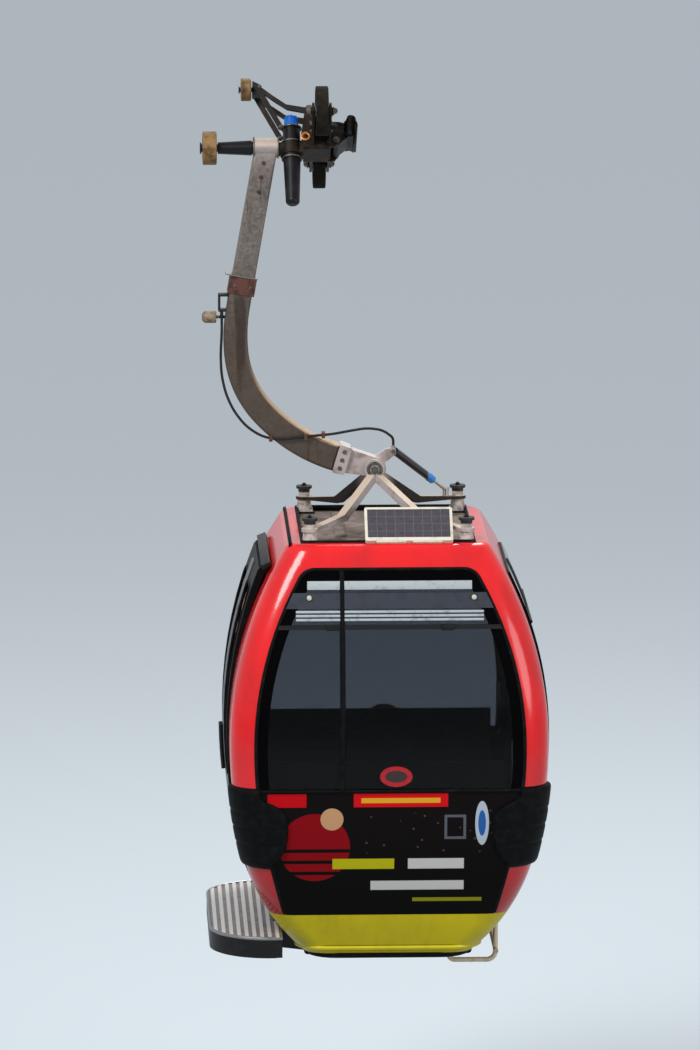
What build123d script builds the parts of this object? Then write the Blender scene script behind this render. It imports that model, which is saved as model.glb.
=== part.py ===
from build123d import *
from math import asin, atan2, cos, degrees, radians, sin, sqrt
import os

os.makedirs("parts", exist_ok=True)

# Six-seat gondola cabin with its hanger arm and detachable rope grip, in millimetres.
# X runs across the line, away from the rope to the right; Y runs along it, downhill; Z is up.
# The origin is the rope's centre in the middle of the grip's jaws.

# Rope and grip
ROPE_RADIUS = 24.0
ROPE_CLEARANCE = 0.1
ROPE_SLOPE = 35.0
JAW_WALL = 14.0
JAW_LENGTH = 280.0
TONGUE_LENGTH = 60.0
MOVABLE_JAW_LENGTH = 160.0
PIN_RADIUS = 12.0
PIN_CLEARANCE = 0.08
SIDE_CLEARANCE = 6.0
LUG_THICKNESS = 14.0
LUG_INSIDE = 75.0
BEAM_END_X = -112.0
JAW_PIVOT = (-75.0, -62.0)
LEVER_PIVOT = (-212.0, 123.0)
LEVER_CHEEK = 62.0
LEVER_THICKNESS = 14.0
LEVER_ROLLER_CENTRE = (-541.0, 285.0)
LEVER_ROLLER_RADIUS = 60.0
LEVER_ROLLER_WIDTH = 54.0
CAPSULE_X = -306.0
CAPSULE_RADIUS = 45.0
CAPSULE_TOP = 60.0
CAPSULE_LENGTH = 455.0
CAPSULE_WALL = 15.0
CAP_RADIUS = 35.0
CAP_HEIGHT = 62.0
WHEEL_X = -154.0
WHEEL_RADIUS = 130.0
WHEEL_WIDTH = 66.0
WHEEL_BASE = 600.0
AXLE_RADIUS = 20.0
FORK_PLATE = 12.0
FORK_END = 44.0
FORK_MIDDLE = 90.0
SHAFT_DROP = 60.0
SHAFT_RADIUS = 34.0
SHAFT_ROOT_RADIUS = 40.0
SHAFT_TIP_RADIUS = 31.0
SHAFT_BORE_CLEARANCE = 0.08
ARM_SHOULDER_GAP = 14.0
HEAD_X = (-502.0, -380.0)
GUIDE_ROLLER_X = (-774.0, -700.0)
GUIDE_ROLLER_RADIUS = 88.0
TYRE_THICKNESS = 16.0

# Hanger arm
ARM_HUB_RADIUS = 52.0
ARM_WIDTH_TOP = 118.0
ARM_WIDTH_END = 142.0
ARM_DEPTH_TOP = 92.0
ARM_DEPTH_END = 128.0
ARM_EDGE_ROUND = 14.0
ARM_LEAN = 10.0
ARM_STRAIGHT = 856.0
ARM_BLANK = 400.0
# radius, turn in degrees
ARM_BENDS = [(912.0, 15.0), (540.0, 37.0), (861.0, 31.0)]
CLAMP_ALONG = 690.0
CLAMP_WALL = 9.0
CLAMP_HEIGHT = 92.0
PIVOT_X = 128.0
PIVOT_Z = -1750.0
PIVOT_PIN_RADIUS = 24.0
PIVOT_EYE_RADIUS = 60.0
PIVOT_EYE_WIDTH = 96.0
YOKE_CHEEK = 26.0
YOKE_EYE_RADIUS = 52.0
YOKE_SIDE_CLEARANCE = 1.0

NOSE = (228.0, -1664.0)
NOSE_HALF = 13.0

# Door cable: chosen points from the gland by the mushroom roller to the gland on the foot's nose
CABLE_RADIUS = 7.0
CABLE_ROUTE = [
    (-676, -34, -935), (-676, -34, -1030), (-683, -36, -1140), (-678, -38, -1250), (-655, -43, -1350),
    (-613, -52, -1440), (-548, -64, -1520), (-466, -76, -1571), (-374, -80, -1588), (-282, -80, -1576),
    (-190, -79, -1567), (-96, -76, -1560), (0, -70, -1543), (88, -56, -1531), (172, -30, -1547),
    (228, -8, -1592), (228, -8, -1634),
]
CLIP_PLACES = [(-420, -1581), (-236, -1572), (-143, -1564)]

# Cabin body
CABIN_X = 182.0
WAIST_Z = -3100.0
ROOF_Z = -2058.0
BASE_Z = -4240.0
WAIST_HALF_WIDTH = 834.0
WAIST_HALF_LENGTH = 850.0
WIDTH_ARC = 1900.0
LENGTH_ARC = 2446.0
LOWER_ARC = 2600.0
LOWER_ARC_TURN = 13.0
BILGE_ARC = 1080.0
LENGTH_LOWER_ARC = 3300.0
LENGTH_BILGE_ARC = 1400.0
CORNER_RADIUS = 150.0
ROOF_EDGE_RADIUS = 60.0
WALL = 35.0
GLASS = 8.0
FIT = 0.3
END_SPLIT_Y = WAIST_HALF_LENGTH - 290.0
SKIRT_TOP_Z = -4010.0
SKIRT_UNDER_Y = WAIST_HALF_LENGTH - 360.0
ROOF_SPLIT_Z = -2150.0
TRAY_TOP_Z = -4100.0
PAN_HALF_WIDTH = WAIST_HALF_WIDTH - 379.0
PAN_HALF_LENGTH = WAIST_HALF_LENGTH - 305.0
PAN_DEPTH = 27.0
PAN_THICKNESS = 9.0
PAN_TOP_Z = ROOF_Z - PAN_DEPTH + PAN_THICKNESS
FAR = 2000.0

# Front and rear windows, seen along Y: top and sill heights, side band beside the outline
WINDOW_TOP_Z = -2177.0
WINDOW_SILL_Z = -3320.0
WINDOW_SIDE_BAND = 132.0
WINDOW_CORNER = 90.0
WINDOW_BILGE_ARC = 9000.0
GLASS_INSET = 4.0
PANEL_THICKNESS = 20.0
VENT_RAIL_Z = -2466.0
VENT_RAIL_HEIGHT = 22.0
VENT_BAR_Z = -2332.0
VENT_BAR_HEIGHT = 78.0
RAIL_PROUD = 6.0

# Right side window
SIDE_WINDOW_HALF = END_SPLIT_Y - 70.0
SIDE_WINDOW_Z = (-3290.0, -2230.0)
SIDE_WINDOW_PROUD = 14.0
SIDE_WINDOW_CORNER = 80.0
GASKET_WIDTH = 22.0

# Doors on the left side
DOOR_HALF_OPENING = 412.0
DOOR_SEAL = 8.0
DOOR_MID_GAP = 6.0
DOOR_ARC = 2400.0
DOOR_PROUD = 12.0
DOOR_THICKNESS = 40.0
DOOR_TOP_Z = -2212.0
DOOR_BOTTOM_Z = -4080.0
LINTEL_Z = -2262.0
DOOR_STILE = 52.0
DOOR_GLASS_Z = (-3330.0, -2330.0)
DOOR_LOWER_GLASS_Z = (-3960.0, -3440.0)
DOOR_GLASS_CORNER = 50.0

# Step board, bumpers and guide bow
STEP_REACH = WAIST_HALF_WIDTH + 104.0
STEP_HALF_STRAIGHT = WAIST_HALF_LENGTH - 450.0
STEP_HALF_LENGTH = WAIST_HALF_LENGTH - 145.0
STEP_INNER = WAIST_HALF_WIDTH - 274.0
STEP_BRACKET_Y = STEP_HALF_STRAIGHT - 40.0
STEP_TOP_Z = -4130.0
TREAD_THICKNESS = 14.0
TREAD_RIB = 4.0
TREAD_RIB_PITCH = 40.0
FASCIA_DEPTH = 96.0
FASCIA_THICKNESS = 14.0
BUMPER_Z = (-3747.0, -3300.0)
BUMPER_PROUD = 24.0
BUMPER_FRONT_REACH = 200.0
BUMPER_SIDE_REACH = 175.0
BUMPER_ROUND = 45.0
BOW_TUBE_RADIUS = 13.0
BOW_HALF_LENGTH = 380.0
BOW_REACH = WAIST_HALF_WIDTH - 260.0
BOW_BOTTOM_Z = -4330.0
BOW_BEND = 45.0
BOW_TOP_Z = -4075.0
BOW_FOOT_X = WAIST_HALF_WIDTH - 506.0
BOW_FOOT_BEND = 30.0

# Floor and seats
FLOOR_THICKNESS = 36.0
FRAME_HEIGHT = 43.0
FRAME_HALF_WIDTH = WAIST_HALF_WIDTH - 434.0
FRAME_HALF_LENGTH = WAIST_HALF_LENGTH - 420.0
FRAME_RAIL = 60.0
SEAT_HEIGHT = 450.0
SEAT_FRONT_Y = WAIST_HALF_LENGTH - 505.0
SEAT_BACK_Y = WAIST_HALF_LENGTH - 185.0
BACKREST_TOP_Z = -3190.0
BACKREST_LEAN = 40.0
SEAT_SHELL = 32.0
SEAT_CROOK = 40.0
SEAT_HALF_WIDTH = WAIST_HALF_WIDTH - 234.0

# Roof gear
MOUNT_HALF_X = PAN_HALF_WIDTH - 45.0
MOUNT_Y = PAN_HALF_LENGTH - 45.0
MOUNT_BASE_RADIUS = 44.0
MOUNT_TOP_RADIUS = 34.0
MOUNT_PLATE_Z = -1996.0
MOUNT_TOP_Z = -1932.0
MOUNT_PLATE = 16.0
MOUNT_CAP = 14.0
LEG_WIDTH = 46.0
LEG_KNEE = 0.52
MOUNT_BASE_HALF = 44.0
MOUNT_BASE_HEIGHT = 24.0
DAMPER_RADIUS = 21.0
DAMPER_EYE = 17.0
DAMPER_EYE_WIDTH = 50.0
DAMPER_BAND = 36.0
DAMPER_TUBE_SHARE = 0.68
DAMPER_FOOT_BACK = 92.0
DAMPER_FOOT_RISE = 48.0
SOLAR_X = (60.0, 520.0)
SOLAR_DEPTH = 235.0
SOLAR_TILT = 38.0
SOLAR_FRAME = 14.0
SOLAR_BOTTOM_Y = -PAN_HALF_LENGTH - 45.0
SOLAR_BOTTOM_Z = -2040.0
SOLAR_THICKNESS = 22.0
DRIP_X = PAN_HALF_WIDTH + 67.0
DRIP_HEIGHT = 12.0

# The hanger turns about the grip's shaft, so the cabin hangs straight below it.
tilt = Rot(-ROPE_SLOPE, 0, 0)
SHAFT_Y = -SHAFT_DROP * sin(radians(ROPE_SLOPE))
SHAFT_Z = -SHAFT_DROP * cos(radians(ROPE_SLOPE))
hang = Pos(0, SHAFT_Y, 0)


def block(x, y, z):
    """Box between pairs of low and high coordinates."""
    size = [high - low for low, high in (x, y, z)]
    centre = [(high + low) / 2 for low, high in (x, y, z)]
    return Pos(*centre) * Box(*size)


def rod(start, end, radius, end_radius=None):
    """Round bar, or a cone, between two points."""
    along = Vector(*end) - Vector(*start)
    frame = Plane(origin=start, z_dir=along)
    if end_radius is None:
        return Part() + Solid.make_cylinder(radius, along.length, frame)
    return Part() + Solid.make_cone(radius, end_radius, along.length, frame)


def prism(points, low, high, axis="Y"):
    """Straight-sided outline in the plane across an axis, pushed from low to high along it."""
    places = {
        "X": lambda a, b: (low, a, b),
        "Y": lambda a, b: (a, low, b),
        "Z": lambda a, b: (a, b, low),
    }
    ways = {"X": (1, 0, 0), "Y": (0, 1, 0), "Z": (0, 0, 1)}
    outline = Polyline(*[places[axis](a, b) for a, b in points], close=True)
    return extrude(make_face(outline), amount=high - low, dir=ways[axis])


def round_edges_along(shape, axis, radius):
    """Round the edges that run parallel to an axis."""
    return fillet(shape.edges().filter_by(axis), radius)


def save(name, shape):
    export_step(shape, "parts/" + name + ".step")


# Grip: drawn level, rope along Y, then tilted to the rope's slope.

def jaw_ring(start_angle, end_angle, length, outer):
    """Part of a ring round the rope, between two angles counted from +X towards +Z."""
    inner = ROPE_RADIUS + ROPE_CLEARANCE
    middle = (start_angle + end_angle) / 2

    def at(radius, angle):
        return (radius * cos(radians(angle)), -length / 2, radius * sin(radians(angle)))

    edges = [
        ThreePointArc(at(inner, start_angle), at(inner, middle), at(inner, end_angle)),
        Line(at(inner, end_angle), at(outer, end_angle)),
        ThreePointArc(at(outer, end_angle), at(outer, middle), at(outer, start_angle)),
        Line(at(outer, start_angle), at(inner, start_angle)),
    ]
    return extrude(make_face(edges), amount=length, dir=(0, 1, 0))


def fixed_jaw():
    """Hook over the rope with a root block on the frame's lugs and slim tongues at both ends."""
    outer = ROPE_RADIUS + JAW_WALL
    hook = jaw_ring(-28, 152, JAW_LENGTH, outer)
    for side in (-1, 1):
        tip = side * (JAW_LENGTH / 2 + TONGUE_LENGTH)
        sleeve = jaw_ring(30, 128, JAW_LENGTH + 2 * TONGUE_LENGTH, outer)
        taper = rod((0, tip, 0), (0, side * JAW_LENGTH / 2, 0), ROPE_RADIUS + 4, outer)
        hook += sleeve & taper
    root = prism([(-62, 8), (-20, 21), (-12, 34), (-62, 46)], -lug_outside, lug_outside)
    bore = rod((0, -400, 0), (0, 400, 0), ROPE_RADIUS + ROPE_CLEARANCE)
    return hook + (root - bore)


def movable_jaw():
    """Lower jaw with an arm back to its pin between the frame's lugs."""
    x, n = JAW_PIVOT
    half = LUG_INSIDE - SIDE_CLEARANCE
    ring = jaw_ring(196, 292, MOVABLE_JAW_LENGTH, ROPE_RADIUS + JAW_WALL)
    arm = prism([(x, n + 20), (-33, -9.5), (-14, -36), (x + 4, n - 20)], -half, half)
    eye = rod((x, -half, n), (x, half, n), 22)
    bore = rod((0, -400, 0), (0, 400, 0), ROPE_RADIUS + ROPE_CLEARANCE)
    hole = rod((x, -400, n), (x, 400, n), PIN_RADIUS + PIN_CLEARANCE)
    return ring + (arm - bore) + eye - hole


def wheel_fork():
    """Two long plates with an axle for a running wheel at each end."""
    half = WHEEL_BASE / 2
    inside = WHEEL_WIDTH / 2 + SIDE_CLEARANCE
    plates = Part()
    for side in (-1, 1):
        low = WHEEL_X + side * (inside + FORK_PLATE / 2) - FORK_PLATE / 2
        outline = [(-half, -FORK_END), (-FORK_MIDDLE, -96), (FORK_MIDDLE, -96), (half, -FORK_END),
                   (half, FORK_END), (FORK_MIDDLE, 52), (-FORK_MIDDLE, 52), (-half, FORK_END)]
        plate = prism(outline, low, low + FORK_PLATE, "X")
        for end in (-1, 1):
            plate += rod((low, end * half, 0), (low + FORK_PLATE, end * half, 0), FORK_END)
        plates += plate
    for end in (-1, 1):
        middle = end * half
        plates += rod((WHEEL_X - inside - FORK_PLATE - 8, middle, 0),
                      (WHEEL_X + inside + FORK_PLATE + 8, middle, 0), AXLE_RADIUS)
    return plates


def grip_frame():
    """Cast body: shaft root, ring for the spring capsule, beam, lugs, pins and wheel fork."""
    n_low, n_high = -SHAFT_DROP - 45, -SHAFT_DROP + 45
    ring_low, ring_high = n_low - 5, -50
    ring = rod((CAPSULE_X, 0, ring_low), (CAPSULE_X, 0, ring_high), CAPSULE_RADIUS + CAPSULE_WALL)
    root = rod((HEAD_X[1] + SIDE_CLEARANCE, 0, -SHAFT_DROP), (CAPSULE_X, 0, -SHAFT_DROP), 46)
    root &= block((HEAD_X[1], CAPSULE_X), (-60, 60), (-140, ring_high))
    beam_left = CAPSULE_X + CAPSULE_RADIUS + CAPSULE_WALL
    beam = block((beam_left, BEAM_END_X), (-lug_outside, lug_outside), (n_low, n_high))
    beam = round_edges_along(beam, Axis.X, 18)
    saddle = block((CAPSULE_X, beam_left + 4), (-CAPSULE_RADIUS, CAPSULE_RADIUS), (n_low, ring_high))
    frame = ring + saddle + root + beam + wheel_fork()
    px, pn = LEVER_PIVOT
    jx, jn = JAW_PIVOT
    for side in (-1, 1):
        inner = side * (LUG_INSIDE + LUG_THICKNESS / 2) - LUG_THICKNESS / 2
        outer = inner + LUG_THICKNESS
        lever_lug = prism([(px - 48, n_high - 20), (px - 24, pn), (px + 24, pn), (px + 48, n_high - 20)],
                          inner, outer)
        lever_lug += rod((px, inner, pn), (px, outer, pn), 24)
        jaw_lug = prism([(-130, n_low + 4), (jx - 4, n_low + 8), (-46, -50), (-42, 6), (-62, 8), (-62, 46),
                         (-130, 46)], inner, outer)
        frame += lever_lug + jaw_lug
    frame += rod((px, -lug_outside - 6, pn), (px, lug_outside + 6, pn), PIN_RADIUS)
    frame += rod((jx, -lug_outside - 6, jn), (jx, lug_outside + 6, jn), PIN_RADIUS)
    return frame - rod((CAPSULE_X, 0, -600), (CAPSULE_X, 0, 600), CAPSULE_RADIUS)


def grip_shaft():
    """Stub shaft that carries the hanger and, at its free end, the guide roller."""
    shoulder = HEAD_X[0] - ARM_SHOULDER_GAP
    bearing = rod((HEAD_X[1] + SIDE_CLEARANCE, 0, 0), (shoulder, 0, 0), SHAFT_RADIUS)
    cone = rod((shoulder, 0, 0), (GUIDE_ROLLER_X[1] + 6, 0, 0), SHAFT_ROOT_RADIUS, SHAFT_TIP_RADIUS)
    stub = rod((GUIDE_ROLLER_X[1] + 6, 0, 0), (GUIDE_ROLLER_X[0] - 6, 0, 0), AXLE_RADIUS)
    end = rod((GUIDE_ROLLER_X[0] - 6, 0, 0), (GUIDE_ROLLER_X[0] - 14, 0, 0), 30)
    return Pos(0, 0, -SHAFT_DROP) * (bearing + cone + stub + end)


def roller_parts(x_low, x_high, centre, radius, bore, tyre):
    """Hub and tyre of a roller on an axis along X; centre is its place along the rope and normal."""
    s, n = centre
    outer = rod((x_low, s, n), (x_high, s, n), radius)
    outer = fillet(outer.edges().filter_by(GeomType.CIRCLE), tyre * 0.45)
    hub_size = radius - tyre
    core = rod((x_low + 3, s, n), (x_high - 3, s, n), hub_size)
    dish = rod((x_low - 1, s, n), (x_low + 12, s, n), hub_size - 8)
    dish += rod((x_high - 12, s, n), (x_high + 1, s, n), hub_size - 8)
    boss = rod((x_low, s, n), (x_high, s, n), bore + 11)
    hub = core - dish + boss - rod((x_low - 5, s, n), (x_high + 5, s, n), bore + PIN_CLEARANCE)
    return hub, outer - rod((x_low - 5, s, n), (x_high + 5, s, n), hub_size)


def grip_lever():
    """Two bent cheek plates over the spring capsule, a hub on the frame's pin and a roller stub."""
    px, pn = LEVER_PIVOT
    rx, rn = LEVER_ROLLER_CENTRE
    stub_root = rx + LEVER_ROLLER_WIDTH / 2 + SIDE_CLEARANCE
    stub_end = rx - LEVER_ROLLER_WIDTH / 2 - SIDE_CLEARANCE
    outer_half = LEVER_CHEEK + LEVER_THICKNESS / 2
    upper = [(px, pn + 16), (-334, 162), (-402, 214), (stub_root, rn + 16),
             (stub_root, rn - 14), (-396, 180), (-328, 132), (px, pn - 16)]
    lower = [(stub_root, rn - 2), (-468, 262), (-352, 34), (-376, 24)]
    cheeks = Part()
    for side in (-1, 1):
        inner = side * LEVER_CHEEK - LEVER_THICKNESS / 2
        cheeks += prism(upper, inner, inner + LEVER_THICKNESS)
        cheeks += prism(lower, inner, inner + LEVER_THICKNESS)
        cheeks += rod((-364, inner, 30), (-364, inner + LEVER_THICKNESS, 30), 15)
    head = prism([(stub_root, rn - 16), (stub_root, rn + 16), (-468, rn - 6), (-468, rn - 38)],
                 -outer_half, outer_half)
    hub = rod((px, -outer_half, pn), (px, outer_half, pn), 23)
    stub = rod((stub_root + 2, 0, rn), (stub_end, 0, rn), PIN_RADIUS)
    stub += rod((stub_end, 0, rn), (stub_end - 6, 0, rn), 20)
    return cheeks + head + hub + stub - rod((px, -400, pn), (px, 400, pn), PIN_RADIUS + PIN_CLEARANCE)


def spring_capsule():
    """Closed spring housing, stepped where the frame's ring holds it, with a domed foot."""
    low = CAPSULE_TOP - CAPSULE_LENGTH
    barrel = rod((CAPSULE_X, 0, low + 32), (CAPSULE_X, 0, CAPSULE_TOP), CAPSULE_RADIUS)
    foot = rod((CAPSULE_X, 0, low), (CAPSULE_X, 0, -150), 36, CAPSULE_RADIUS)
    foot = fillet(foot.edges().group_by(Axis.Z)[0], 22)
    body = (barrel & block((-600, 0), (-99, 99), (-150, 99))) + foot
    collar = rod((CAPSULE_X, 0, -50 + FIT), (CAPSULE_X, 0, -38), CAPSULE_RADIUS + 8)
    rim = rod((CAPSULE_X, 0, -132), (CAPSULE_X, 0, -111), CAPSULE_RADIUS + 8)
    return body + collar + rim


def spring_cap():
    cap = rod((CAPSULE_X, 0, CAPSULE_TOP), (CAPSULE_X, 0, CAPSULE_TOP + CAP_HEIGHT), CAP_RADIUS)
    return fillet(cap.edges().group_by(Axis.Z)[-1], 10)


lug_outside = LUG_INSIDE + LUG_THICKNESS
wheel_low = WHEEL_X - WHEEL_WIDTH / 2
wheel_high = WHEEL_X + WHEEL_WIDTH / 2

save("grip_frame", tilt * grip_frame())
save("fixed_jaw", tilt * fixed_jaw())
save("movable_jaw", tilt * movable_jaw())
save("grip_shaft", tilt * grip_shaft())
save("grip_lever", tilt * grip_lever())
save("spring_capsule", tilt * spring_capsule())
save("spring_cap", tilt * spring_cap())

lever_roller_low = LEVER_ROLLER_CENTRE[0] - LEVER_ROLLER_WIDTH / 2
# name, low x, high x, place along the rope, place along the normal, radius, bore radius
rollers = [
    ("upper_wheel", wheel_low, wheel_high, -WHEEL_BASE / 2, 0.0, WHEEL_RADIUS, AXLE_RADIUS),
    ("lower_wheel", wheel_low, wheel_high, WHEEL_BASE / 2, 0.0, WHEEL_RADIUS, AXLE_RADIUS),
    ("guide_roller", *GUIDE_ROLLER_X, 0.0, -SHAFT_DROP, GUIDE_ROLLER_RADIUS, AXLE_RADIUS),
    ("lever_roller", lever_roller_low, lever_roller_low + LEVER_ROLLER_WIDTH, 0.0, LEVER_ROLLER_CENTRE[1],
     LEVER_ROLLER_RADIUS, PIN_RADIUS),
]
for name, x_low, x_high, s, n, radius, bore in rollers:
    hub, tyre = roller_parts(x_low, x_high, (s, n), radius, bore, TYRE_THICKNESS)
    save(name + "_hub", tilt * hub)
    save(name + "_tyre", tilt * tyre)


# Hanger arm: centre line of one straight and three tangent arcs, seen from the front.

def arm_stations():
    """Centre-line stations from the head down: point, way along, width; arcs have a middle station."""
    x, z = (HEAD_X[0] + HEAD_X[1]) / 2, SHAFT_Z
    heading = radians(270 - ARM_LEAN)
    stations = [(x, z, heading)]
    x += ARM_STRAIGHT * cos(heading)
    z += ARM_STRAIGHT * sin(heading)
    stations.append((x, z, heading))
    for radius, turn in ARM_BENDS:
        for _ in range(2):
            step = radians(turn / 2)
            chord = 2 * radius * sin(step / 2)
            x += chord * cos(heading + step / 2)
            z += chord * sin(heading + step / 2)
            heading += step
            stations.append((x, z, heading))
    return stations


def clamp_station():
    """Point on the arm's straight where the strap and the door fittings sit, and the way along."""
    heading = radians(270 - ARM_LEAN)
    head_x = (HEAD_X[0] + HEAD_X[1]) / 2
    return (head_x + CLAMP_ALONG * cos(heading), SHAFT_Z + CLAMP_ALONG * sin(heading), heading)


def arm_edge(stations, side):
    """Points of one long edge; the width grows evenly from head to foot."""
    points = []
    last = len(stations) - 1
    for index, (x, z, heading) in enumerate(stations):
        width = ARM_WIDTH_TOP + (ARM_WIDTH_END - ARM_WIDTH_TOP) * index / last
        points.append((x + side * width / 2 * sin(heading), -ARM_BLANK / 2, z - side * width / 2 * cos(heading)))
    return points


def hanger_arm():
    stations = arm_stations()
    left = arm_edge(stations, 1)
    right = arm_edge(stations, -1)
    edges = []
    for points in (left, right):
        edges.append(Line(points[0], points[1]))
        for start in (1, 3, 5):
            edges.append(ThreePointArc(points[start], points[start + 1], points[start + 2]))
    edges.append(Line(left[0], right[0]))
    edges.append(Line(left[-1], right[-1]))
    flat = extrude(make_face(edges), amount=ARM_BLANK, dir=(0, 1, 0))
    top, foot = SHAFT_Z, stations[-1][1] - 200
    side_view = prism([(-ARM_DEPTH_TOP / 2, top), (ARM_DEPTH_TOP / 2, top),
                       (ARM_DEPTH_END / 2, foot), (-ARM_DEPTH_END / 2, foot)], -900, 300, "X")
    arm = flat & side_view
    long_edges = [e for e in arm.edges() if e.bounding_box().size.Z > 60 or e.bounding_box().size.X > 150]
    arm = fillet(long_edges, ARM_EDGE_ROUND)
    hub = rod((HEAD_X[0], 0, SHAFT_Z), (HEAD_X[1], 0, SHAFT_Z), ARM_HUB_RADIUS)
    bore_radius = SHAFT_RADIUS + SHAFT_BORE_CLEARANCE
    bore = rod((HEAD_X[0] - 50, 0, SHAFT_Z), (HEAD_X[1] + 50, 0, SHAFT_Z), bore_radius)
    arm &= block((-900, 300), (-200, 200), (-2500, SHAFT_Z))
    return arm + hub - bore


def arm_foot():
    """Cast end fitting: collar butted to the arm, neck, bearing eye and nose for the roll damper."""
    x, z, heading = arm_stations()[-1]
    along = (cos(heading), sin(heading))
    across = (-along[1], along[0])

    def at(distance, rise):
        return (x + along[0] * distance + across[0] * rise, z + along[1] * distance + across[1] * rise)

    collar = prism([at(0, -78), at(0, 78), at(66, 74), at(66, -74)], -72, 72)
    collar = round_edges_along(collar, Axis.Y, 10)
    neck = prism([at(60, -66), at(60, 66), (PIVOT_X, PIVOT_Z + PIVOT_EYE_RADIUS), (PIVOT_X, PIVOT_Z - 44)],
                 -PIVOT_EYE_WIDTH / 2, PIVOT_EYE_WIDTH / 2)
    half_eye = PIVOT_EYE_WIDTH / 2
    eye = rod((PIVOT_X, -half_eye, PIVOT_Z), (PIVOT_X, half_eye, PIVOT_Z), PIVOT_EYE_RADIUS)
    nose = prism([(PIVOT_X - 10, PIVOT_Z + 50), (PIVOT_X + 50, PIVOT_Z + 20), (NOSE[0] + 16, NOSE[1] - 14),
                  (NOSE[0] + 4, NOSE[1] + 20), (NOSE[0] - 40, NOSE[1] + 12)], -13, 13)
    nose += rod((NOSE[0], -NOSE_HALF - 9, NOSE[1]), (NOSE[0], NOSE_HALF, NOSE[1]), 16)
    cable_end = CABLE_ROUTE[-1]
    nose += rod((cable_end[0], cable_end[1], NOSE[1]), cable_end, 10)
    bore = rod((PIVOT_X, -200, PIVOT_Z), (PIVOT_X, 200, PIVOT_Z), PIVOT_PIN_RADIUS)
    return collar + neck + eye + nose - bore


def mount_places():
    """Roof mounts at the four corners of the suspension."""
    return [(CABIN_X + sx * MOUNT_HALF_X, sy * MOUNT_Y) for sx in (-1, 1) for sy in (-1, 1)]


def suspension_yoke():
    """Pivot pin, two cheeks and four cranked legs out to plates on the mounts."""
    inner = PIVOT_EYE_WIDTH / 2 + YOKE_SIDE_CLEARANCE
    outer = inner + YOKE_CHEEK
    yoke = rod((PIVOT_X, -outer - 14, PIVOT_Z), (PIVOT_X, outer + 14, PIVOT_Z), PIVOT_PIN_RADIUS)
    for side in (-1, 1):
        yoke += rod((PIVOT_X, side * inner, PIVOT_Z), (PIVOT_X, side * outer, PIVOT_Z), YOKE_EYE_RADIUS)
    for x, y in mount_places():
        yoke += leg(x, y, (inner + outer) / 2)
        half_plate = MOUNT_PLATE / 2
        yoke += rod((x, y, MOUNT_PLATE_Z - half_plate), (x, y, MOUNT_PLATE_Z + half_plate), MOUNT_BASE_RADIUS)
    clear = rod((PIVOT_X, -inner, PIVOT_Z), (PIVOT_X, inner, PIVOT_Z), PIVOT_EYE_RADIUS + 30)
    pin = rod((PIVOT_X, -inner, PIVOT_Z), (PIVOT_X, inner, PIVOT_Z), PIVOT_PIN_RADIUS)
    return yoke - clear + pin


def leg(x, y, cheek_y):
    """One leg: steep from the cheek, then flat out to its mount, in the plane through both."""
    start_y = cheek_y if y > 0 else -cheek_y
    away = Vector(x - PIVOT_X, y - start_y, 0)
    reach = away.length
    turn = degrees(atan2(away.Y, away.X))
    drop = MOUNT_PLATE_Z - PIVOT_Z
    end = reach - MOUNT_TOP_RADIUS - 3
    half_plate = MOUNT_PLATE / 2
    top = [(10, -12), (LEG_KNEE * reach, drop + 42), (end, drop + half_plate)]
    foot = [(end, drop - half_plate), (LEG_KNEE * reach - 24, drop + 8), (-8, -46)]
    web = prism(top + foot, -LEG_WIDTH / 2, LEG_WIDTH / 2)
    return Pos(PIVOT_X, start_y, PIVOT_Z) * Rot(0, 0, turn) * web


def roof_mount(x, y):
    """Base block and rubber cone under the leg plate, small rubber and steel cap above it."""
    half_plate = MOUNT_PLATE / 2
    half = MOUNT_BASE_HALF
    base_top = PAN_TOP_Z + MOUNT_BASE_HEIGHT
    low = block((x - half, x + half), (y - half, y + half), (PAN_TOP_Z, base_top))
    low += rod((x, y, base_top), (x, y, MOUNT_PLATE_Z - half_plate), MOUNT_TOP_RADIUS + 6, MOUNT_TOP_RADIUS)
    cap_low = MOUNT_TOP_Z - MOUNT_CAP
    high = rod((x, y, MOUNT_PLATE_Z + half_plate), (x, y, cap_low), MOUNT_TOP_RADIUS - 6, MOUNT_TOP_RADIUS - 2)
    cap = rod((x, y, cap_low), (x, y, MOUNT_TOP_Z), MOUNT_TOP_RADIUS + 8)
    return low, high + cap


def roll_damper():
    """Gas damper: eye and black tube, coloured band, then the bright rod down to a post on a leg."""
    length = (damper_foot - damper_top).length
    way = (damper_foot - damper_top).normalized()
    band_start = DAMPER_TUBE_SHARE * length

    def at(distance):
        point = damper_top + way * distance
        return (point.X, point.Y, point.Z)

    tube = rod(at(DAMPER_EYE), at(band_start), DAMPER_RADIUS)
    tube += rod((NOSE[0], NOSE_HALF, NOSE[1]), (NOSE[0], NOSE_HALF + DAMPER_EYE_WIDTH, NOSE[1]), DAMPER_EYE)
    tube += rod(at(band_start), at(band_start + DAMPER_BAND), DAMPER_RADIUS + 2)
    piston = rod(at(band_start + DAMPER_BAND), at(length), 10)
    post_low = (damper_foot.X, damper_foot.Y, MOUNT_PLATE_Z)
    post_high = (damper_foot.X, damper_foot.Y, damper_foot.Z + 14)
    return tube, piston + rod(post_low, post_high, 17)


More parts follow.
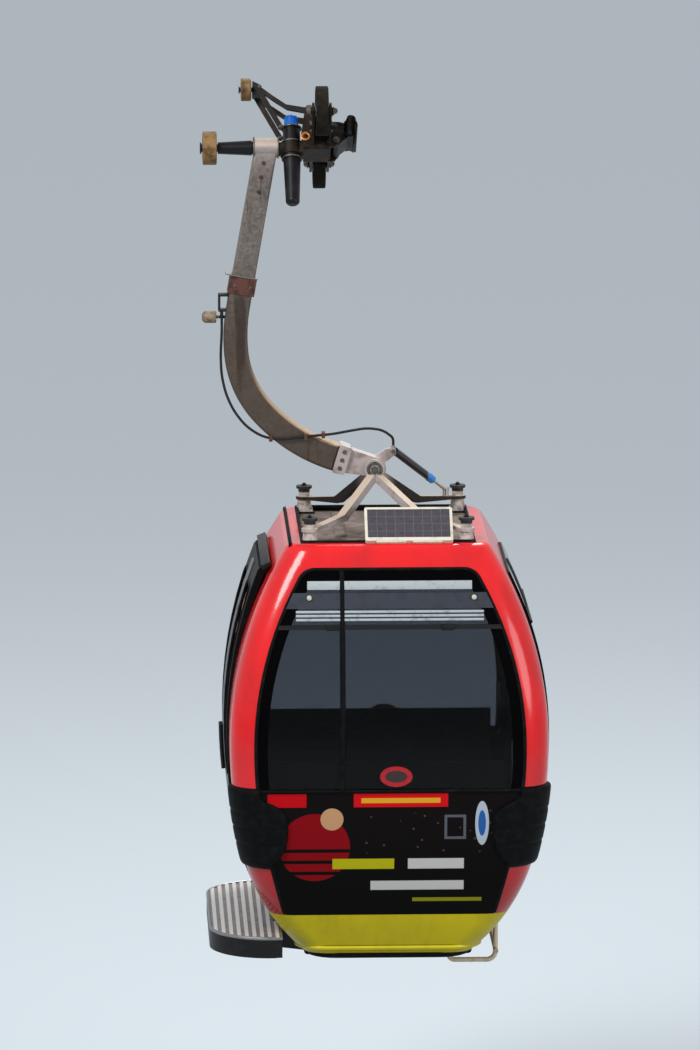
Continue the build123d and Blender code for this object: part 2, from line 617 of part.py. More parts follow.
def arm_clamp(arm):
    """Strap round the arm at the end of its straight, closed to the arm on all sides."""
    x, z, heading = clamp_station()
    along = (cos(heading), sin(heading))
    across = (-along[1], along[0])

    def at(distance, side):
        return (x + along[0] * distance + across[0] * side, z + along[1] * distance + across[1] * side)

    reach = ARM_WIDTH_TOP / 2 + CLAMP_WALL + 3
    strap = prism([at(0, -reach), at(0, reach), at(CLAMP_HEIGHT, reach), at(CLAMP_HEIGHT, -reach)], -60, 60)
    return strap - arm


def door_actuator(arm):
    """Ring bracket on the arm's outer side, with the cable gland and the mushroom roller."""
    x, z, _ = clamp_station()
    ring = block((x - 134, x - 66), (-42, 20), (z - 182, z - 89))
    ring -= block((x - 122, x - 84), (-60, 40), (z - 170, z - 101))
    gland = rod((CABLE_ROUTE[0][0], CABLE_ROUTE[0][1], CABLE_ROUTE[0][2] + 32), CABLE_ROUTE[0], 9)
    stalk_z = z - 216
    stalk = rod((x - 60, 6, stalk_z), (x - 146, 6, stalk_z), 8)
    bulb = rod((x - 143, 6, stalk_z), (x - 219, 6, stalk_z), 32)
    bulb = fillet(bulb.edges().group_by(Axis.X)[0], 24)
    bulb = fillet(bulb.edges().group_by(Axis.X)[-1], 8)
    return ring + gland + stalk + bulb - arm


def cable_path():
    """Route of the door cable with each bend as wide as its two runs allow."""
    points = [Vector(*p) for p in CABLE_ROUTE]
    radii = []
    for before, corner, after in zip(points, points[1:], points[2:]):
        arriving, leaving = corner - before, after - corner
        half_turn = radians(arriving.get_angle(leaving)) / 2
        shorter = min(arriving.length, leaving.length)
        radii.append(0.45 * shorter / (sin(half_turn) / cos(half_turn)))
    path = FilletPolyline(*CABLE_ROUTE, radius=radii)
    print("cable length", round(path.length), "smallest bend", round(min(radii)))
    return path


def swept_tube(path, radius):
    start = Plane(origin=path @ 0, z_dir=path % 0)
    return sweep(start * Circle(radius), path=path)


def cable_clips(path, arm):
    """Blocks on the arm's face that hold the cable in a hole."""
    clips = Part()
    for x, z in CLIP_PLACES:
        clips += block((x - 9, x + 9), (-94, -40), (z - 15, z + 15))
    return clips - arm - swept_tube(path, CABLE_RADIUS + FIT)


# The roll damper runs from the foot's nose to a post on the rear right leg.
damper_top = Vector(NOSE[0], NOSE_HALF + DAMPER_EYE_WIDTH / 2, NOSE[1])
damper_foot_z = MOUNT_PLATE_Z + DAMPER_FOOT_RISE
mount_place = Vector(CABIN_X + MOUNT_HALF_X, MOUNT_Y, damper_foot_z)
cheek_place = Vector(PIVOT_X, PIVOT_EYE_WIDTH / 2 + YOKE_SIDE_CLEARANCE + YOKE_CHEEK / 2, damper_foot_z)
damper_foot = mount_place - (mount_place - cheek_place).normalized() * DAMPER_FOOT_BACK

arm = hanger_arm()
yoke = suspension_yoke()
save("hanger_arm", hang * arm)
save("arm_foot", hang * arm_foot())
save("suspension_yoke", hang * yoke)
lower_mounts = Part()
upper_mounts = Part()
for x, y in mount_places():
    low, high = roof_mount(x, y)
    lower_mounts += low
    upper_mounts += high
save("roof_mounts", hang * (lower_mounts + upper_mounts))
tube, piston = roll_damper()
save("roll_damper_tube", hang * tube)
save("roll_damper_rod", hang * (piston - yoke))
path = cable_path()
save("door_actuator", hang * door_actuator(arm))
save("control_cable", hang * swept_tube(path, CABLE_RADIUS))
save("arm_clamps", hang * (arm_clamp(arm) + cable_clips(path, arm)))


# Cabin body: a barrel in front and side view, with rounded corners in plan.

def barrel_face(half_waist, upper_arc, lower_arc, bilge_arc, top, bottom, put):
    """Outline symmetric about the upright axis: one arc above the waist, two tangent arcs below."""
    turn = radians(LOWER_ARC_TURN)
    upper = (half_waist - upper_arc, WAIST_Z)
    lower = (half_waist - lower_arc, WAIST_Z)
    bilge = (lower[0] + (lower_arc - bilge_arc) * cos(turn), lower[1] - (lower_arc - bilge_arc) * sin(turn))
    top_angle = asin((top - WAIST_Z) / upper_arc)
    bottom_angle = asin((bottom - bilge[1]) / bilge_arc)
    # centre, radius, first angle, last angle
    arcs = [
        (upper, upper_arc, top_angle, 0.0),
        (lower, lower_arc, 0.0, -turn),
        (bilge, bilge_arc, -turn, bottom_angle),
    ]
    edges = []
    for side in (1, -1):
        for centre, radius, first, last in arcs:
            angles = (first, (first + last) / 2, last)
            edges.append(ThreePointArc(*[
                put(side * (centre[0] + radius * cos(a)), centre[1] + radius * sin(a)) for a in angles]))
    top_half = upper[0] + upper_arc * cos(top_angle)
    bottom_half = bilge[0] + bilge_arc * cos(bottom_angle)
    edges.append(Line(put(-top_half, top), put(top_half, top)))
    edges.append(Line(put(-bottom_half, bottom), put(bottom_half, bottom)))
    return make_face(edges)


def in_front_view(w, z):
    return (w, 0, z)


def in_side_view(w, z):
    return (0, w, z)


hulls = {}


def hull(inset):
    """Outer body moved inwards by an inset, or outwards by a negative one."""
    if inset not in hulls:
        heights = (ROOF_Z - inset, BASE_Z + inset)
        front = barrel_face(WAIST_HALF_WIDTH - inset, WIDTH_ARC - inset, LOWER_ARC - inset,
                            BILGE_ARC - inset, *heights, in_front_view)
        side = barrel_face(WAIST_HALF_LENGTH - inset, LENGTH_ARC - inset, LENGTH_LOWER_ARC - inset,
                           LENGTH_BILGE_ARC - inset, *heights, in_side_view)
        body = extrude(front, amount=1500, dir=(0, 1, 0), both=True)
        body &= extrude(side, amount=1500, dir=(1, 0, 0), both=True)
        corners = [e for e in body.edges() if e.bounding_box().size.Z > 50]
        body = fillet(corners, CORNER_RADIUS - inset)
        body = fillet(body.edges().group_by(Axis.Z)[-1], ROOF_EDGE_RADIUS - inset)
        hulls[inset] = Pos(CABIN_X, 0, 0) * body
    return hulls[inset]


def skin(outer_inset, inner_inset):
    """Shell between two insets."""
    return hull(outer_inset) - hull(inner_inset)


def front_window_prism(inset):
    """Window outline of the ends, pushed along Y through the front wall."""
    face = barrel_face(
        WAIST_HALF_WIDTH - WINDOW_SIDE_BAND - inset, WIDTH_ARC - WINDOW_SIDE_BAND - inset,
        LOWER_ARC - WINDOW_SIDE_BAND - inset, WINDOW_BILGE_ARC - inset,
        WINDOW_TOP_Z - inset, SKIRT_TOP_Z, in_front_view)
    window = extrude(Pos(CABIN_X, -1200, 0) * face, amount=800, dir=(0, 1, 0))
    top = window.edges().filter_by(Axis.Y).group_by(Axis.Z)[-1]
    return fillet(top, WINDOW_CORNER - inset)


def rounded_window(y, z, x_low, x_high, corner):
    """Window with round corners in a side wall, pushed along X."""
    window = block((x_low, x_high), y, z)
    return round_edges_along(window, Axis.X, corner)


whole = (-FAR, FAR)
end_zone = (-FAR, -END_SPLIT_Y)
mid_zone = (-END_SPLIT_Y, END_SPLIT_Y)
left_zone = (-FAR, CABIN_X - 300)
right_zone = (CABIN_X + 300, FAR)
wall = skin(0, WALL)

window_hole = front_window_prism(0)
window_fill = front_window_prism(FIT)
front_end = wall & block(whole, end_zone, (SKIRT_TOP_Z, 0))
front_end -= window_hole
front_skirt = wall & block(whole, end_zone, (-6000, SKIRT_TOP_Z))
front_skirt += wall & block(whole, (-END_SPLIT_Y, -SKIRT_UNDER_Y), (-6000, TRAY_TOP_Z))
pane_skin = skin(GLASS_INSET, GLASS_INSET + GLASS)
front_glass = pane_skin & window_fill & block(whole, (-FAR, 0), (WINDOW_SILL_Z, 0))
panel_skin = skin(GLASS_INSET - 2, GLASS_INSET + PANEL_THICKNESS)
front_panel = panel_skin & window_fill & block(whole, (-FAR, 0), (SKIRT_TOP_Z, WINDOW_SILL_Z))
rail_skin = skin(-RAIL_PROUD, GLASS_INSET - FIT)
front_rails = Part()
for z, height in ((VENT_RAIL_Z, VENT_RAIL_HEIGHT), (VENT_BAR_Z, VENT_BAR_HEIGHT)):
    front_rails += rail_skin & window_fill & block(whole, (-FAR, 0), (z - height / 2, z + height / 2))

roof = wall & block(whole, mid_zone, (ROOF_SPLIT_Z, 0))
pan_x = (CABIN_X - PAN_HALF_WIDTH, CABIN_X + PAN_HALF_WIDTH)
pan_y = (-PAN_HALF_LENGTH, PAN_HALF_LENGTH)
roof -= block(pan_x, pan_y, (ROOF_Z - PAN_DEPTH, 0))
roof_pan = block(pan_x, pan_y, (ROOF_Z - PAN_DEPTH, PAN_TOP_Z))
under_tray = wall & block(whole, (-SKIRT_UNDER_Y, SKIRT_UNDER_Y), (-6000, TRAY_TOP_Z))

side_z = (TRAY_TOP_Z, ROOF_SPLIT_Z)
right_wall = wall & block(right_zone, mid_zone, side_z)
side_window_y = (-SIDE_WINDOW_HALF, SIDE_WINDOW_HALF)
right_wall -= rounded_window(side_window_y, SIDE_WINDOW_Z, right_zone[0], FAR, SIDE_WINDOW_CORNER)
gasket_hole = rounded_window((-SIDE_WINDOW_HALF + GASKET_WIDTH, SIDE_WINDOW_HALF - GASKET_WIDTH),
                             (SIDE_WINDOW_Z[0] + GASKET_WIDTH, SIDE_WINDOW_Z[1] - GASKET_WIDTH),
                             right_zone[0], FAR, SIDE_WINDOW_CORNER - GASKET_WIDTH)
gasket_fill = rounded_window((-SIDE_WINDOW_HALF + FIT, SIDE_WINDOW_HALF - FIT),
                             (SIDE_WINDOW_Z[0] + FIT, SIDE_WINDOW_Z[1] - FIT),
                             right_zone[0], FAR, SIDE_WINDOW_CORNER - FIT)
pane_inset = GLASS - SIDE_WINDOW_PROUD
right_gasket = (skin(pane_inset + FIT, WALL / 2) & gasket_fill) - gasket_hole
right_glass = skin(-SIDE_WINDOW_PROUD, pane_inset) & gasket_fill

door_opening = block((-FAR, 0), (-DOOR_HALF_OPENING, DOOR_HALF_OPENING), (TRAY_TOP_Z - 1, LINTEL_Z))
door_jambs = (wall & block(left_zone, mid_zone, side_z)) - door_opening

save("front_end", hang * front_end)
save("rear_end", hang * mirror(front_end, about=Plane.XZ))
save("front_skirt", hang * front_skirt)
save("rear_skirt", hang * mirror(front_skirt, about=Plane.XZ))
save("front_glass", hang * front_glass)
save("rear_glass", hang * mirror(front_glass, about=Plane.XZ))
save("front_panel", hang * front_panel)
save("rear_panel", hang * mirror(front_panel, about=Plane.XZ))
save("window_rails", hang * (front_rails + mirror(front_rails, about=Plane.XZ)))
save("roof_shell", hang * roof)
save("roof_pan", hang * roof_pan)
save("under_tray", hang * under_tray)
save("right_wall", hang * right_wall)
save("right_gasket", hang * right_gasket)
save("right_glass", hang * right_glass)
save("door_jambs", hang * door_jambs)


# Doors: two curved leaves that stand slightly proud of the left side.

def door_skin(outer_inset, inner_inset):
    """Curved slab of the door's own section along the cabin, left half only."""
    shells = []
    for inset in (outer_inset, inner_inset):
        face = barrel_face(
            WAIST_HALF_WIDTH + DOOR_PROUD - inset, DOOR_ARC - inset, LOWER_ARC - inset, BILGE_ARC - inset,
            DOOR_TOP_Z + 60, BASE_Z, in_front_view)
        shells.append(extrude(Pos(CABIN_X, 0, 0) * face, amount=700, dir=(0, 1, 0), both=True))
    return (shells[0] - shells[1]) & block(left_zone, whole, whole_height)


whole_height = (-6000, 0)
leaf_y = (DOOR_MID_GAP / 2, DOOR_HALF_OPENING - DOOR_SEAL)
leaf_z = (DOOR_BOTTOM_Z, DOOR_TOP_Z - DOOR_SEAL)
leaf_slab = door_skin(0, DOOR_THICKNESS)
pane_slab = door_skin(6, 6 + GLASS)
seal_slab = door_skin(5, DOOR_THICKNESS - 5)
glass_y = (leaf_y[0] + DOOR_STILE, leaf_y[1] - DOOR_STILE)


def door_leaf():
    leaf = leaf_slab & block(left_zone, leaf_y, leaf_z)
    panes = Part()
    for z in (DOOR_GLASS_Z, DOOR_LOWER_GLASS_Z):
        window = rounded_window(glass_y, z, -FAR, left_zone[1], DOOR_GLASS_CORNER)
        leaf -= window
        panes += pane_slab & window
    return leaf, panes


leaf, panes = door_leaf()
seal_reach = block(left_zone, (-DOOR_HALF_OPENING, DOOR_HALF_OPENING), (DOOR_BOTTOM_Z, DOOR_TOP_Z))
seal_reach -= block(left_zone, (-leaf_y[1], leaf_y[1]), leaf_z)
door_seal = (seal_slab - hull(WALL)) & seal_reach
door_seal += seal_slab & block(left_zone, (-leaf_y[0], leaf_y[0]), leaf_z)
save("door_leaf_rear", hang * leaf)
save("door_leaf_front", hang * mirror(leaf, about=Plane.XZ))
save("door_glass_rear", hang * panes)
save("door_glass_front", hang * mirror(panes, about=Plane.XZ))
save("door_seal", hang * door_seal)


# Floor, underframe and seats
floor_top = BASE_Z + WALL + FIT + FLOOR_THICKNESS
floor_pan = hull(WALL + FIT) & block(whole, whole, (-6000, floor_top))
frame_z = (BASE_Z - FRAME_HEIGHT, BASE_Z)


def underframe():
    """Welded channel frame under the floor, with two cross members."""
    x = (CABIN_X - FRAME_HALF_WIDTH, CABIN_X + FRAME_HALF_WIDTH)
    frame = block(x, (-FRAME_HALF_LENGTH, FRAME_HALF_LENGTH), frame_z)
    bay = (2 * FRAME_HALF_LENGTH - 4 * FRAME_RAIL) / 3
    for index in range(3):
        low = -FRAME_HALF_LENGTH + FRAME_RAIL + index * (bay + FRAME_RAIL)
        frame -= block((x[0] + FRAME_RAIL, x[1] - FRAME_RAIL), (low, low + bay), (-6000, 0))
    return frame


def bench():
    """Seat, backrest and riser of one sheet, trimmed to the cabin's inside; drawn for the rear end."""
    t = SEAT_SHELL
    seat = floor_top + SEAT_HEIGHT
    riser = SEAT_FRONT_Y + 40
    section = [
        (riser, floor_top), (riser, seat - t), (SEAT_FRONT_Y, seat - t), (SEAT_FRONT_Y, seat),
        (SEAT_BACK_Y, seat), (SEAT_BACK_Y + BACKREST_LEAN, BACKREST_TOP_Z),
        (SEAT_BACK_Y + BACKREST_LEAN + t, BACKREST_TOP_Z), (SEAT_BACK_Y + t, seat - t),
        (riser + t, seat - t), (riser + t, floor_top),
    ]
    shell = prism(section, CABIN_X - SEAT_HALF_WIDTH, CABIN_X + SEAT_HALF_WIDTH, "X")
    along = shell.edges().filter_by(Axis.X)
    nose = [e for e in along if abs(e.center().Y - SEAT_FRONT_Y) < 1]
    rim = [e for e in along if abs(e.center().Z - BACKREST_TOP_Z) < 1]
    crook = [e for e in along if abs(e.center().Y - SEAT_BACK_Y) < 1]
    shell = fillet(nose + rim, t * 0.4)
    crook = shell.edges().filter_by(Axis.X).sort_by_distance(crook[0].center())[0]
    return fillet(crook, SEAT_CROOK) & hull(WALL + 5)


seat = bench()
save("floor_pan", hang * floor_pan)
save("underframe", hang * underframe())
save("bench_rear", hang * seat)
save("bench_front", hang * mirror(seat, about=Plane.XZ))


# Step board on the door side
def step_outline(reach, length, low, high):
    """Plan outline: straight outer edge, quarter-like ends curving in to the corners."""
    rise = length - STEP_HALF_STRAIGHT
    depth = reach - STEP_INNER
    radius = (depth * depth + rise * rise) / (2 * depth)
    centre_x = radius - reach
    last = asin(rise / radius) if depth < radius else radians(180) - asin(rise / radius)

    def at(side, angle):
        y = side * (STEP_HALF_STRAIGHT + radius * sin(angle))
        return (CABIN_X + centre_x - radius * cos(angle), y, low)

    inner_x = CABIN_X - STEP_INNER
    edges = [Line(at(-1, 0), at(1, 0)), Line((inner_x, -length, low), (inner_x, length, low))]
    for side in (-1, 1):
        edges.append(ThreePointArc(at(side, 0), at(side, last / 2), at(side, last)))
    return extrude(make_face(edges), amount=high - low, dir=(0, 0, 1))


def step_tread():
    """Ribbed plate; the ribs run along the cabin."""
    top = STEP_TOP_Z - TREAD_RIB
    plate = step_outline(STEP_REACH, STEP_HALF_LENGTH, STEP_TOP_Z - TREAD_THICKNESS, top)
    ribs = step_outline(STEP_REACH - 10, STEP_HALF_LENGTH - 12, top, STEP_TOP_Z)
    count = int((STEP_REACH - STEP_INNER) / TREAD_RIB_PITCH)
    bars = Part()
    for index in range(count):
        x = CABIN_X - STEP_REACH + 22 + index * TREAD_RIB_PITCH
        bars += block((x, x + TREAD_RIB_PITCH / 2), whole, (top, STEP_TOP_Z))
    return plate + (ribs & bars)


def step_brackets():
    """Three gussets from the underframe out to the fascia."""
    outer = CABIN_X - STEP_REACH + FASCIA_THICKNESS
    inner = CABIN_X - FRAME_HALF_WIDTH
    under = STEP_TOP_Z - TREAD_THICKNESS
    plates = Part()
    for y in (-STEP_BRACKET_Y, 0, STEP_BRACKET_Y):
        plates += prism([(outer, under), (inner - 100, under), (inner, BASE_Z - 2), (inner, frame_z[0] + 3),
                         (outer, under - FASCIA_DEPTH + 25)], y - 5, y + 5)
    return plates - hull(-FIT)


tread_bottom = STEP_TOP_Z - TREAD_THICKNESS
fascia = step_outline(STEP_REACH, STEP_HALF_LENGTH, tread_bottom - FASCIA_DEPTH, tread_bottom)
fascia -= step_outline(STEP_REACH - FASCIA_THICKNESS, STEP_HALF_LENGTH - FASCIA_THICKNESS,
                       tread_bottom - FASCIA_DEPTH - 1, tread_bottom + 1)
fascia &= block((-FAR, CABIN_X - STEP_INNER - 1), whole, whole_height)
save("step_tread", hang * step_tread())
save("step_frame", hang * (fascia + step_brackets()))


def corner_bumpers():
    """Two pads that wrap the front corners below the waist."""
    shell = skin(-BUMPER_PROUD, -FIT)
    pads = Part()
    for side in (-1, 1):
        inner = CABIN_X + side * (WAIST_HALF_WIDTH - BUMPER_FRONT_REACH)
        x = sorted((inner, inner + side * FAR))
        seen_front = round_edges_along(block(x, whole, BUMPER_Z), Axis.Y, BUMPER_ROUND)
        y = (-FAR, -WAIST_HALF_LENGTH + BUMPER_SIDE_REACH)
        seen_side = round_edges_along(block(x, y, BUMPER_Z), Axis.X, BUMPER_ROUND)
        pads += shell & seen_front & seen_side
    return pads


def guide_bow():
    """Two bent tubes under the right side with a tube between them."""
    bow = Part()
    for y in (-BOW_HALF_LENGTH, BOW_HALF_LENGTH):
        route = [(CABIN_X + BOW_REACH, y, BOW_TOP_Z), (CABIN_X + BOW_REACH, y, BOW_BOTTOM_Z),
                 (CABIN_X + BOW_FOOT_X, y, BOW_BOTTOM_Z), (CABIN_X + BOW_FOOT_X, y, frame_z[0])]
        tube = swept_tube(FilletPolyline(*route, radius=[BOW_BEND, BOW_FOOT_BEND]), BOW_TUBE_RADIUS)
        bow += tube - hull(-FIT)
    z = BOW_BOTTOM_Z + BOW_BEND + BOW_TUBE_RADIUS
    bow += rod((CABIN_X + BOW_REACH, -BOW_HALF_LENGTH - 60, z), (CABIN_X + BOW_REACH, BOW_HALF_LENGTH + 60, z),
               BOW_TUBE_RADIUS)
    return bow


bumpers = corner_bumpers()
save("corner_bumpers", hang * (bumpers + mirror(bumpers, about=Plane.XZ)))
save("guide_bow", hang * guide_bow())


def solar_panel():
    """Framed panel tilted to the front on two feet, and its dark cells set in the frame."""
    tilt_panel = Pos(0, SOLAR_BOTTOM_Y, SOLAR_BOTTOM_Z) * Rot(SOLAR_TILT, 0, 0)
    body = block(SOLAR_X, (0, SOLAR_DEPTH), (-SOLAR_THICKNESS, 0))
    bed_x = (SOLAR_X[0] + SOLAR_FRAME, SOLAR_X[1] - SOLAR_FRAME)
    bed_y = (SOLAR_FRAME + 10, SOLAR_DEPTH - SOLAR_FRAME)
    bed = block(bed_x, bed_y, (-8, 0))
    body = round_edges_along(body, Axis.Z, 12) - bed
    under = SOLAR_THICKNESS / cos(radians(SOLAR_TILT))
    rise = sin(radians(SOLAR_TILT)) / cos(radians(SOLAR_TILT))
    feet = Part()
    for x in (SOLAR_X[0] + 90, SOLAR_X[1] - 90):
        heights = [(y, SOLAR_BOTTOM_Z + (y - SOLAR_BOTTOM_Y) * rise - under) for y in (-530, -440)]
        feet += prism([(-530, PAN_TOP_Z), (-440, PAN_TOP_Z), heights[1], heights[0]], x - 10, x + 10, "X")
    cells = tilt_panel * block(bed_x, bed_y, (-8, -2))
    return tilt_panel * body + feet, cells


solar_frame, solar_cells = solar_panel()
save("solar_frame", hang * solar_frame)
save("solar_cells", hang * solar_cells)

drip_x = (CABIN_X - DRIP_X, CABIN_X - DRIP_X + 14)
drip_rail = skin(-DRIP_HEIGHT, -FIT) & block(drip_x, mid_zone, (ROOF_Z - 110, 0))
save("drip_rail", hang * drip_rail)
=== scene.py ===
from functools import partial
from math import atan, atan2, cos, exp, pi, radians, sin, sqrt

import bmesh
import bpy
from mathutils import Matrix, Vector


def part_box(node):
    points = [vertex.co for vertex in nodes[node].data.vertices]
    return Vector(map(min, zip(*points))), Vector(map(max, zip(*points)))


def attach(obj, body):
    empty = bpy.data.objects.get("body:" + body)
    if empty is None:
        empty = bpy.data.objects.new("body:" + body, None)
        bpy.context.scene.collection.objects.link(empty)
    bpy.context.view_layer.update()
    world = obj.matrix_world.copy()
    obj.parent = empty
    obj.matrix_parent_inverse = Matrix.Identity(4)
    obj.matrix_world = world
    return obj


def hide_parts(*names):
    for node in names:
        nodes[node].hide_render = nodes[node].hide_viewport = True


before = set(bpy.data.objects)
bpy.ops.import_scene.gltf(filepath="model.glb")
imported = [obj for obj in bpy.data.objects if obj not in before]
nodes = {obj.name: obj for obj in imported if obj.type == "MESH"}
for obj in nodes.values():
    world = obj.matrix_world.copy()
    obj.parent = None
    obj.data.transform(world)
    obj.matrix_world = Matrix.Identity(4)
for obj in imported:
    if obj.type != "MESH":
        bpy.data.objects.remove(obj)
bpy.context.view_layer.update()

# The rope runs down along +Y at this slope. Arm and cabin hang from the grip's shaft, which is square under
# the rope. Lengths are in metres.
ROPE_SLOPE = radians(35)
SHAFT_DROP = 0.060
# Across the line: middle of the arm's head and of the cabin
HEAD_X = -0.441
CABIN_X = 0.182
grip_turn = Matrix.Rotation(-ROPE_SLOPE, 4, "X")
SHAFT_Y, SHAFT_Z = (grip_turn @ Vector((0, 0, -SHAFT_DROP))).yz
hung = Matrix.Translation((0, SHAFT_Y, 0))
cabin = Matrix.Translation((CABIN_X, SHAFT_Y, 0))

# The barrel's waist and its middle
WAIST_Z = -3.100
MIDDLE_Z = -3.050
# The barrel from the front: half width at the waist, radius of its arc above, radii of its two arcs below
WAIST_HALF, UPPER_ARC, LOWER_ARC, BILGE_ARC = 0.834, 1.900, 2.600, 1.080
# Turn of the lower arc before the bilge's arc begins, and the round of the upright corners
LOWER_TURN = radians(13)
CORNER = 0.150
# Red band beside an end window, the window's top and its round upper corners
SIDE_BAND = 0.132
WINDOW_TOP_Z = -2.177
WINDOW_CORNER = 0.090
# Middle of the small oval mark at the foot of an end window, from the cabin's middle
OVAL_X, OVAL_Z = 0.030, -3.245


# Colours and shader nodes

# What every node of a kind is set to
SETTINGS = {"MapRange": {"interpolation_type": "SMOOTHSTEP"}, "Mix": {"data_type": "RGBA"}}
# Where a mix of colours takes its factor and its two colours
FACTOR, UNDER, OVER = 0, 6, 7
materials = {}


def srgb(text):
    """Linear colour of an sRGB hex value."""
    channels = [int(text[i:i + 2], 16) / 255 for i in (0, 2, 4)]
    return (*(c / 12.92 if c <= 0.04045 else ((c + 0.055) / 1.055) ** 2.4 for c in channels), 1.0)


def add_node(tree, kind, inputs=(), operation=None):
    """Add a shader node. An input goes by place or name: a value, a hex colour, a socket or another node."""
    made = tree.nodes.new("ShaderNode" + kind)
    for key, value in SETTINGS.get(kind, {}).items():
        setattr(made, key, value)
    if operation:
        made.operation = operation
    for key, value in inputs.items() if isinstance(inputs, dict) else enumerate(inputs):
        if isinstance(value, bpy.types.Node):
            value = next(socket for socket in value.outputs if socket.enabled)
        if isinstance(value, bpy.types.NodeSocket):
            tree.links.new(value, made.inputs[key])
        else:
            made.inputs[key].default_value = srgb(value) if isinstance(value, str) else value
    return made


def start(name):
    """Begin a material, and give the function that adds its nodes and a point's place on the object."""
    materials[name] = bpy.data.materials.new(name)
    materials[name].use_nodes = True
    tree = materials[name].node_tree
    tree.nodes.clear()
    add = partial(add_node, tree)
    return add, add("TexCoord").outputs["Object"]


def paint(name, look, *measures, **more):
    """Make a material. Its look is a function that gives the inputs of its surface."""
    add, where = start(name)
    add("OutputMaterial", {"Surface": add("BsdfPrincipled", look(add, where, *measures, **more))})


def cloud(add, where, size_mm, detail=4.0, rough=0.55, stretch=(1, 1, 1)):
    """Noise with blots of a size in millimetres, longer along an axis that is stretched."""
    scale = [1000.0 / size_mm / s for s in stretch]
    mapped = add("Mapping", {"Vector": where, "Scale": scale})
    return add("TexNoise", {"Vector": mapped, "Scale": 1.0, "Detail": detail, "Roughness": rough})


def layered(add, ground, *layers):
    """Lay colours over a ground one after another, each where its mask is 1."""
    for mask, shade in layers:
        ground = add("Mix", {FACTOR: mask, UNDER: ground, OVER: shade})
    return ground


def stained(add, where, blot_mm, low, high, base, stain):
    """Colour with blots of stain, which begin and are full at two levels of a noise."""
    spots = add("MapRange", [cloud(add, where, blot_mm), low, high])
    return layered(add, base, (spots, stain))


# name: base, stain, blot size mm, share of stain, roughness, metallic, coat, bump mm, bump grain mm
WORN = {
    # Phosphated and greased steel casting: nearly black with brown grease in patches, fine sand-cast grain.
    "greased_casting": ("1b1613", "3a281b", 70, 0.45, 0.50, 0.30, 0.0, 0.5, 9),
    # Forged jaw steel: dark with rubbed, slightly polished patches.
    "forged_steel": ("171412", "3f3832", 50, 0.30, 0.42, 0.50, 0.0, 0.3, 14),
    # Satin black enamel on turned steel, dusted.
    "satin_black_enamel": ("0f0e12", "1d1b1d", 90, 0.35, 0.38, 0.0, 0.0, 0.1, 20),
    # Zinc-plated bolts gone dull.
    "dull_zinc": ("68645e", "443e37", 20, 0.4, 0.48, 0.7, 0.0, 0.1, 4),
    # Injection-moulded polypropylene, clean blue.
    "moulded_blue_plastic": ("1d6fd0", "1757a8", 60, 0.3, 0.35, 0.0, 0.1, 0.05, 5),
    # Vulcanised rubber running tyre, dusty brown on top of black.
    "running_rubber": ("1b1a16", "302a20", 60, 0.5, 0.78, 0.0, 0.0, 0.3, 6),
    # Cast polyurethane, amber, dirtier where it runs.
    "cast_polyurethane": ("8f6e45", "3a2b1b", 60, 0.65, 0.45, 0.0, 0.0, 0.15, 8),
    # Black enamelled small steel fittings.
    "black_fitting_enamel": ("101012", "1f1d1c", 60, 0.30, 0.45, 0.0, 0.0, 0.1, 10),
    # PVC cable sheath, matte black.
    "pvc_sheath": ("1b1c1f", "2b2b2c", 30, 0.3, 0.5, 0.0, 0.0, 0.05, 4),
    # Red-brown oxide primer on steel straps.
    "oxide_primer": ("5f3d34", "3c2823", 40, 0.45, 0.6, 0.0, 0.0, 0.15, 6),
    # Bright hard-chromed piston rod.
    "hard_chrome": ("cfcfcc", "b4b2ad", 30, 0.2, 0.12, 1.0, 0.0, 0.0, 10),
    # Black EPDM seals, slightly greyed by weather.
    "epdm_rubber": ("0d0d0e", "1c1c1c", 60, 0.35, 0.65, 0.0, 0.0, 0.25, 5),
    # Bumper moulding: coarse-grained black rubber that has scuffed.
    "bumper_rubber": ("08090a", "121517", 45, 0.45, 0.60, 0.0, 0.0, 0.5, 7),
    # Underbody coating: thick sprayed bitumen with an orange-peel face.
    "underbody_coating": ("101111", "24211f", 90, 0.4, 0.78, 0.0, 0.0, 0.9, 11),
    # Cream powder-coated aluminium frame.
    "cream_powder_coat": ("ddd6c6", "b9b09d", 80, 0.3, 0.45, 0.0, 0.1, 0.1, 5),
    # Moulded dark seat plastic, matte; its near black is partly its own colour and partly painted shade for
    # the dim inside of the cabin.
    "seat_plastic": ("15100f", "0d0a09", 90, 0.3, 0.55, 0.0, 0.0, 0.0, 6),
    # Anodised grey aluminium profile.
    "anodised_profile": ("8d9093", "787b7e", 60, 0.25, 0.35, 0.9, 0.0, 0.05, 12),
    # Galvanised tube of the guide bow, warm with dust.
    "dusty_galvanised_tube": ("d2c2a4", "a8967a", 60, 0.35, 0.5, 0.25, 0.0, 0.2, 8),
    # Cast bearing bronze, oiled, orange-brown.
    "bearing_bronze": ("c27a3e", "7a4a26", 20, 0.3, 0.35, 0.8, 0.0, 0.1, 5),
    # Black polyester powder coat of the door leaves, matt so that the sky hardly shows in it.
    "matt_black_powder_coat": ("0b0b0d", "161517", 90, 0.30, 0.55, 0.0, 0.0, 0.08, 6),
    # Pale grey plastic slats of the vents.
    "pale_vent_plastic": ("aeb6ba", "8d9599", 40, 0.3, 0.5, 0.0, 0.0, 0.1, 8),
    # Frosted polycarbonate lamp cover.
    "lamp_polycarbonate": ("d9d2bd", "bfb69c", 20, 0.3, 0.3, 0.0, 0.1, 0.0, 5),
}


